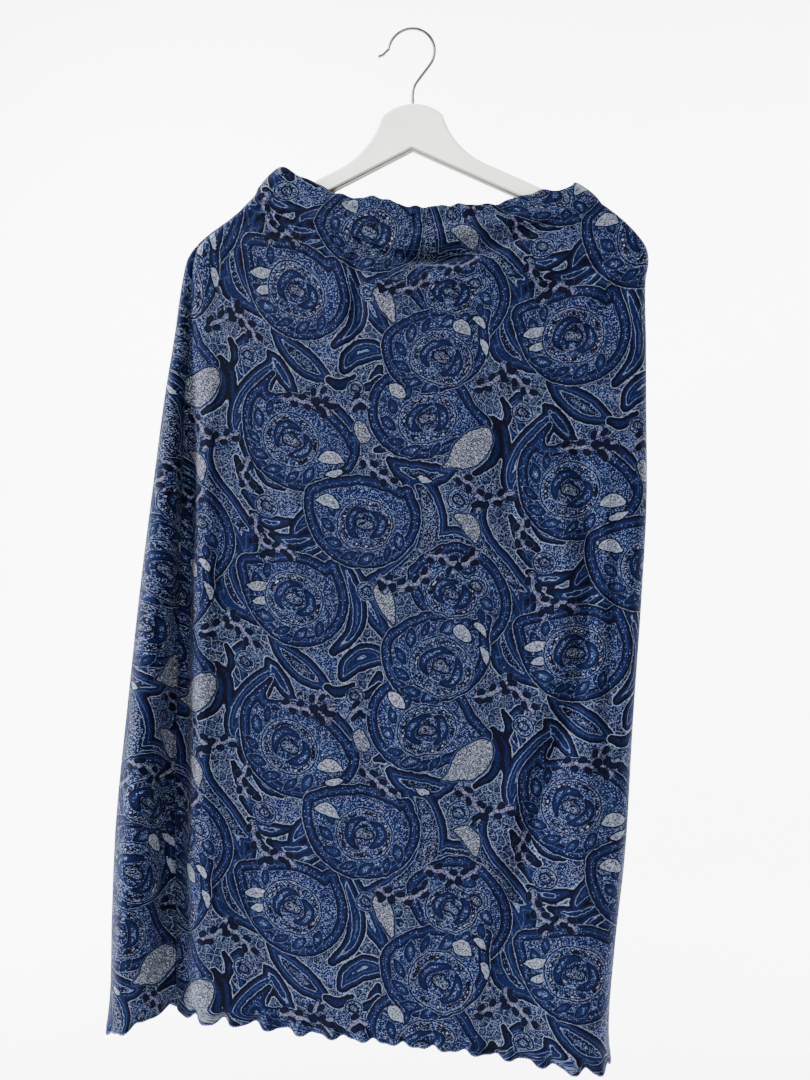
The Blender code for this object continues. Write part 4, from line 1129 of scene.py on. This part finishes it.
# Waist casing: cloth folded over elastic, a puffed ring from the waist seam to its folded top
casingForm = {
    "topLeft": -125.5,
    "topRight": 158,
    "topDepth": 11.5,
    "topRound": 9,
    "stations": 420,
    "outsideRows": 26,
    "insideRows": 12,
    "halfThickness": 1.85,
    "endThickness": 0.9,
    "bulge": 1.6,
    "foldFrom": 0.84,
    "gathers": ((0.22, 41, 0.3), (0.2, 67, 2.1), (0.14, 103, 4.4)),  # size, count round the tube, start
    "topBumps": ((0.8, 23, 1.0), (0.5, 37, 3.0)),
    "gatherLean": 1.2,
    "seamDip": 0.9,
    "seamReach": 2.0,
    "fullFrom": 0.2,         # share of the height at which it has its thickness
    "calmEnds": (0.25, 0.8),  # shares of the height between which gathers are full
    "creasePower": 0.7,
    "creases": [  # share of the height at start and end, place at start and end, width in mm, rise
        (0.26, 0.22, 0.16, 0.84, 7.0, 3.4),
        (0.60, 0.56, 0.20, 0.66, 6.0, -2.4),
        (0.84, 0.70, 0.34, 0.62, 4.0, -1.3),
        (0.50, 0.66, 0.58, 0.86, 5.0, -1.8),
        (0.40, 0.72, 0.10, 0.30, 4.5, -1.6),
        (0.72, 0.90, 0.62, 0.80, 3.5, 1.2),
        (0.40, 0.55, 1.10, 1.40, 4.5, -1.0),
        (0.50, 0.38, 1.45, 1.80, 4.0, -0.9),
    ],
}


def casingTop(f):  # folded edge: a flat oval at the top's heights, plus small sines
    form = casingForm
    across = waistAcross(f)
    x, share = flatOval(across, form["topLeft"], form["topRight"], form["topDepth"], form["topDepth"],
                        form["topRound"], form["topRound"])
    height = np.where(isFront(f), levelOf(bodyForm["topFront"], across), levelOf(bodyForm["topBack"], across))
    for size, count, start in form["topBumps"]:
        height = height + size * np.sin(count * math.pi * f + start)
    return np.stack([x, np.where(isFront(f), -1, 1) * form["topDepth"] * share, height], axis=-1)


def waistCasing():
    # straight from the seam to the folded edge, puffed out by half a sine, with half the thickness to
    # each side that closes as a circle at the fold; gathers are sines and creases are bells on it
    form = casingForm
    f = np.arange(form["stations"]) * 2 / form["stations"]
    low = bodyPoint(f, 0.0)
    high = casingTop(f)
    along = unit(np.roll(low, -1, axis=0) - np.roll(low, 1, axis=0))
    outward = unit(np.cross(along, unit(low - high)))
    up = np.concatenate([np.linspace(0, 1, form["outsideRows"]), np.linspace(1, 0, form["insideRows"])[1:]])
    side = np.concatenate([np.ones(form["outsideRows"]), -np.ones(form["insideRows"] - 1)])
    fold = np.clip((up - form["foldFrom"]) / (1 - form["foldFrom"]), 0, 1)
    half = form["halfThickness"] * np.sqrt(1 - fold**2)
    thin = (1 - form["endThickness"] / form["halfThickness"]) * (1 - smoothStep(0, form["fullFrom"], up))
    half = half * (1 - thin)
    out = side * half + form["bulge"] * np.sin(math.pi * up)
    height = np.linalg.norm(high - low, axis=-1)
    wave = np.zeros((len(up), len(f)))
    for size, count, start in form["gathers"]:
        wave += size * np.sin(count * math.pi * f + start + form["gatherLean"] * up[:, None])
    for riseStart, riseEnd, placeStart, placeEnd, width, rise in form["creases"]:
        share = np.clip((f - placeStart) / (placeEnd - placeStart), 0, 1)
        inside = np.sin(math.pi * share) ** form["creasePower"] * ((f > placeStart) & (f < placeEnd))
        gap = (up[:, None] - riseStart - (riseEnd - riseStart) * share) * height
        wave += rise * inside * hump(gap, width) * (side[:, None] > 0)
    fullAt, fullTo = form["calmEnds"]
    wave *= smoothStep(0, fullAt, up)[:, None] * smoothStep(1.0, fullTo, up)[:, None]
    rightSeam = seamShare(np.asarray(0.0), "rightSeam", 1)
    leftSeam = seamShare(np.asarray(0.0), "leftSeam", -1)
    arcLength = np.linalg.norm(np.roll(low, -1, axis=0) - low, axis=-1).mean()
    for seam in (2 - rightSeam, 1 - leftSeam):
        apart = np.abs(np.mod(f - seam + 1, 2) - 1) * form["stations"] / 2 * arcLength
        wave -= form["seamDip"] * hump(apart, form["seamReach"]) * (side[:, None] > 0)
    points = low + (high - low) * up[:, None, None] + outward * (out[:, None] + wave)[..., None]
    onFront = (f < 1 - leftSeam) | (f > 2 - rightSeam)
    place = np.where(f > 2 - rightSeam, f - 2, f)
    across = np.where(onFront, np.interp(place, frontPanel["f"][0], frontPanel["across"][0]),
                      np.interp(f, backPanel["f"][0], backPanel["across"][0]))
    across = np.broadcast_to(across, wave.shape)
    upWalk = np.concatenate([up[:form["outsideRows"]], 2 - up[form["outsideRows"]:]])[:, None] * height
    downAt = printTop(low[:, 2], 0) - upWalk
    columns = len(f)
    faces = gridFaces(len(up), columns, wrap=True)
    last = (len(up) - 1) * columns
    faces += [[last + k, last + (k + 1) % columns, (k + 1) % columns, k] for k in range(columns)]
    uv = np.stack([across.ravel(), -downAt.ravel()], axis=-1)
    obj = buildObject("waistCasing", points.reshape(-1, 3), faces, [clothOutside], uv)
    addPrint(obj.data, across.ravel(), downAt.ravel(), np.broadcast_to(onFront, wave.shape).ravel())
    return obj


casing = waistCasing()
print("waist casing made")

# Hanger and hook keep their solids and get their finishes
hangerLook = {
    "paint": linear(248, 247, 239),
    "shade": linear(233, 231, 221),
    "edge": linear(66, 59, 52),      # painted shade on the lower edge, which faces down
    "edgeFacing": (-0.15, -0.45),    # upward part of the normal, from paint to painted shade
    "specular": 0.1,
    "cloudScale": 18.0,
    "cloudDetail": 4.0,
    "cloudEdge": (0.42, 0.72),
    "grainStretch": (0.25, 1.0, 1.0),
    "grainScale": 260.0,
    "grainDetail": 5.0,
    "roughness": (0.2, 0.8, 0.36, 0.52),
    "bump": (0.18, 0.0004),          # strength, metres
    "steel": linear(118, 118, 120),
    "darkSteel": linear(66, 66, 69),
    "steelScale": 900.0,
    "steelDetail": 4.0,
    "steelEdge": (0.35, 0.65),
    "steelRoughness": (0.3, 0.7, 0.22, 0.4),
}


def paintMaterial():
    look = hangerLook
    made, shader = newMaterial("whitePaint", specular=look["specular"])
    tree = made.node_tree
    place = addNode(tree, "ShaderNodeTexCoord").outputs["Object"]
    stretch = addNode(tree, "ShaderNodeMapping", {"Vector": place, "Scale": look["grainStretch"]}).outputs[0]
    grain = addNoise(tree, stretch, look["grainScale"], look["grainDetail"], dimensions="3D").outputs["Fac"]
    clouds = addNoise(tree, place, look["cloudScale"], look["cloudDetail"], dimensions="3D").outputs["Fac"]
    tone = mixColours(tree, mapRange(tree, clouds, *look["cloudEdge"]), look["paint"], look["shade"])
    # painted shade: faces whose normal points down are mixed towards a dark brown-grey, standing in for the
    # shade under the hanger
    normal = addNode(tree, "ShaderNodeNewGeometry").outputs["True Normal"]
    facing = addNode(tree, "ShaderNodeSeparateXYZ", {0: normal}).outputs["Z"]
    tone = mixColours(tree, mapRange(tree, facing, *look["edgeFacing"]), tone, look["edge"])
    tree.links.new(tone, shader.inputs["Base Color"])
    tree.links.new(mapRange(tree, grain, *look["roughness"]), shader.inputs["Roughness"])
    addBump(tree, shader, grain, *look["bump"])
    return made


def steelMaterial():
    look = hangerLook
    made, shader = newMaterial("brushedSteel", metallic=1.0)
    tree = made.node_tree
    place = addNode(tree, "ShaderNodeTexCoord").outputs["Object"]
    lines = addNoise(tree, place, look["steelScale"], look["steelDetail"], dimensions="3D").outputs["Fac"]
    tone = mixColours(tree, mapRange(tree, lines, *look["steelEdge"]), look["steel"], look["darkSteel"])
    tree.links.new(tone, shader.inputs["Base Color"])
    tree.links.new(mapRange(tree, lines, *look["steelRoughness"]), shader.inputs["Roughness"])
    return made


def giveFinish(node, finish):
    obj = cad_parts[node]
    obj.data.materials.clear()
    obj.data.materials.append(finish)


giveFinish("hanger_body", paintMaterial())
giveFinish("hanger_hook", steelMaterial())
print("hanger finished")

for piece in (frontPanel["object"], backPanel["object"], casing, frontHem, backHem):
    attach(piece, "root")
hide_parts("skirt_front")
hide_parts("skirt_back")
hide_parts("waistband")

# Camera at the photo's viewing angle
cameraForm = {
    "place": (139.983, -1112.121, -492.540),
    "turn": 6.8,
    "roll": 1.75,
    "focal": 1160.62,        # in pixels of the photo, as is its height
    "frameHeight": 1080,
    "sensorHeight": 36,
    "seesTo": 30,            # metres
}


def turnTo(obj, right, up, back, place):
    rows = [[float(axis[k]) for axis in (right, up, back, place)] for k in range(3)]
    obj.matrix_world = Matrix(rows + [[0, 0, 0, 1]])


def placeCamera():
    turn = math.radians(cameraForm["turn"])
    roll = math.radians(cameraForm["roll"])
    forward = np.array([-math.sin(turn), math.cos(turn), 0])
    right = np.array([math.cos(turn), math.sin(turn), 0])
    up = np.array([0, 0, 1])
    sideways = math.cos(roll) * right + math.sin(roll) * up
    upwards = -math.sin(roll) * right + math.cos(roll) * up
    data = bpy.data.cameras.new("camera")
    data.sensor_fit = "VERTICAL"
    data.sensor_height = cameraForm["sensorHeight"]
    data.lens = cameraForm["focal"] * data.sensor_height / cameraForm["frameHeight"]
    data.clip_end = cameraForm["seesTo"]
    obj = bpy.data.objects.new("camera", data)
    bpy.context.scene.collection.objects.link(obj)
    turnTo(obj, sideways, upwards, -forward, np.array(cameraForm["place"]) * mm)
    bpy.context.scene.camera = obj


placeCamera()

# Plain pale floor that curves up into a wall, and soft studio light
stageForm = {  # metres
    "floor": -1.16,
    "front": -3.5,
    "bendFrom": 1.4,
    "bendRadius": 1.2,
    "bendSteps": 24,
    "wallTop": 3.0,
    "halfWidth": 5.0,
    "columns": 12,
    "roughness": 0.9,
    "specular": 0.1,
    "cloudScale": 3.0,
    "paper": linear(250, 250, 251),
    "paperShade": linear(246, 246, 248),
    "air": (0.97, 0.985, 1.0, 1),
    "airStrength": 0.2,
}
lights = [  # name, place, aims at, size, power
    ("key", (-2.4, -0.95, 1.1), (0, 0, -0.5), (0.7, 1.0), 430),
    ("fill", (0.8, -2.4, -0.2), (0, 0, -0.5), (1.8, 1.8), 16),
    ("top", (-0.2, 0.3, 1.7), (0, 0, -0.4), (1.8, 1.0), 40),
    ("wallLeft", (-1.6, 0.5, 0.6), (-0.6, 2.6, -0.4), (1.2, 1.6), 330),
    ("wallRight", (1.6, 0.5, 0.6), (0.6, 2.6, -0.4), (1.2, 1.6), 330),
]


def studio():  # straight floor, a quarter circle, then straight wall
    form = stageForm
    bend = np.linspace(0, math.pi / 2, form["bendSteps"])
    y = np.concatenate([[form["front"]], form["bendFrom"] + form["bendRadius"] * np.sin(bend),
                        [form["bendFrom"] + form["bendRadius"]]])
    z = np.concatenate([[0], form["bendRadius"] * (1 - np.cos(bend)), [form["wallTop"]]]) + form["floor"]
    x = np.linspace(-form["halfWidth"], form["halfWidth"], form["columns"])
    points = np.stack(np.broadcast_arrays(x[None, :], y[:, None], z[:, None]), axis=-1)
    finish, shader = newMaterial("palePaper", form["roughness"], specular=form["specular"])
    tree = finish.node_tree
    place = addNode(tree, "ShaderNodeTexCoord").outputs["Object"]
    clouds = addNoise(tree, place, form["cloudScale"], dimensions="3D").outputs["Fac"]
    tree.links.new(mixColours(tree, clouds, form["paper"], form["paperShade"]), shader.inputs["Base Color"])
    floor = buildObject("studioFloor", points.reshape(-1, 3) / mm, gridFaces(len(y), len(x)), [finish])
    world = bpy.data.worlds.new("studioAir")
    world.use_nodes = True
    air = world.node_tree.nodes["Background"]
    air.inputs["Color"].default_value = form["air"]
    air.inputs["Strength"].default_value = form["airStrength"]
    bpy.context.scene.world = world
    for name, place, aim, size, power in lights:
        data = bpy.data.lights.new(name, "AREA")
        data.shape = "RECTANGLE"
        data.size, data.size_y = size
        data.energy = power
        obj = bpy.data.objects.new(name, data)
        bpy.context.scene.collection.objects.link(obj)
        away = unit(np.array(place) - np.array(aim))
        right = unit(np.cross(np.array([0.0, 0.0, 1.0]), away))
        over = np.cross(away, right)
        turnTo(obj, right, over, away, place)


studio()
print("camera and light placed")
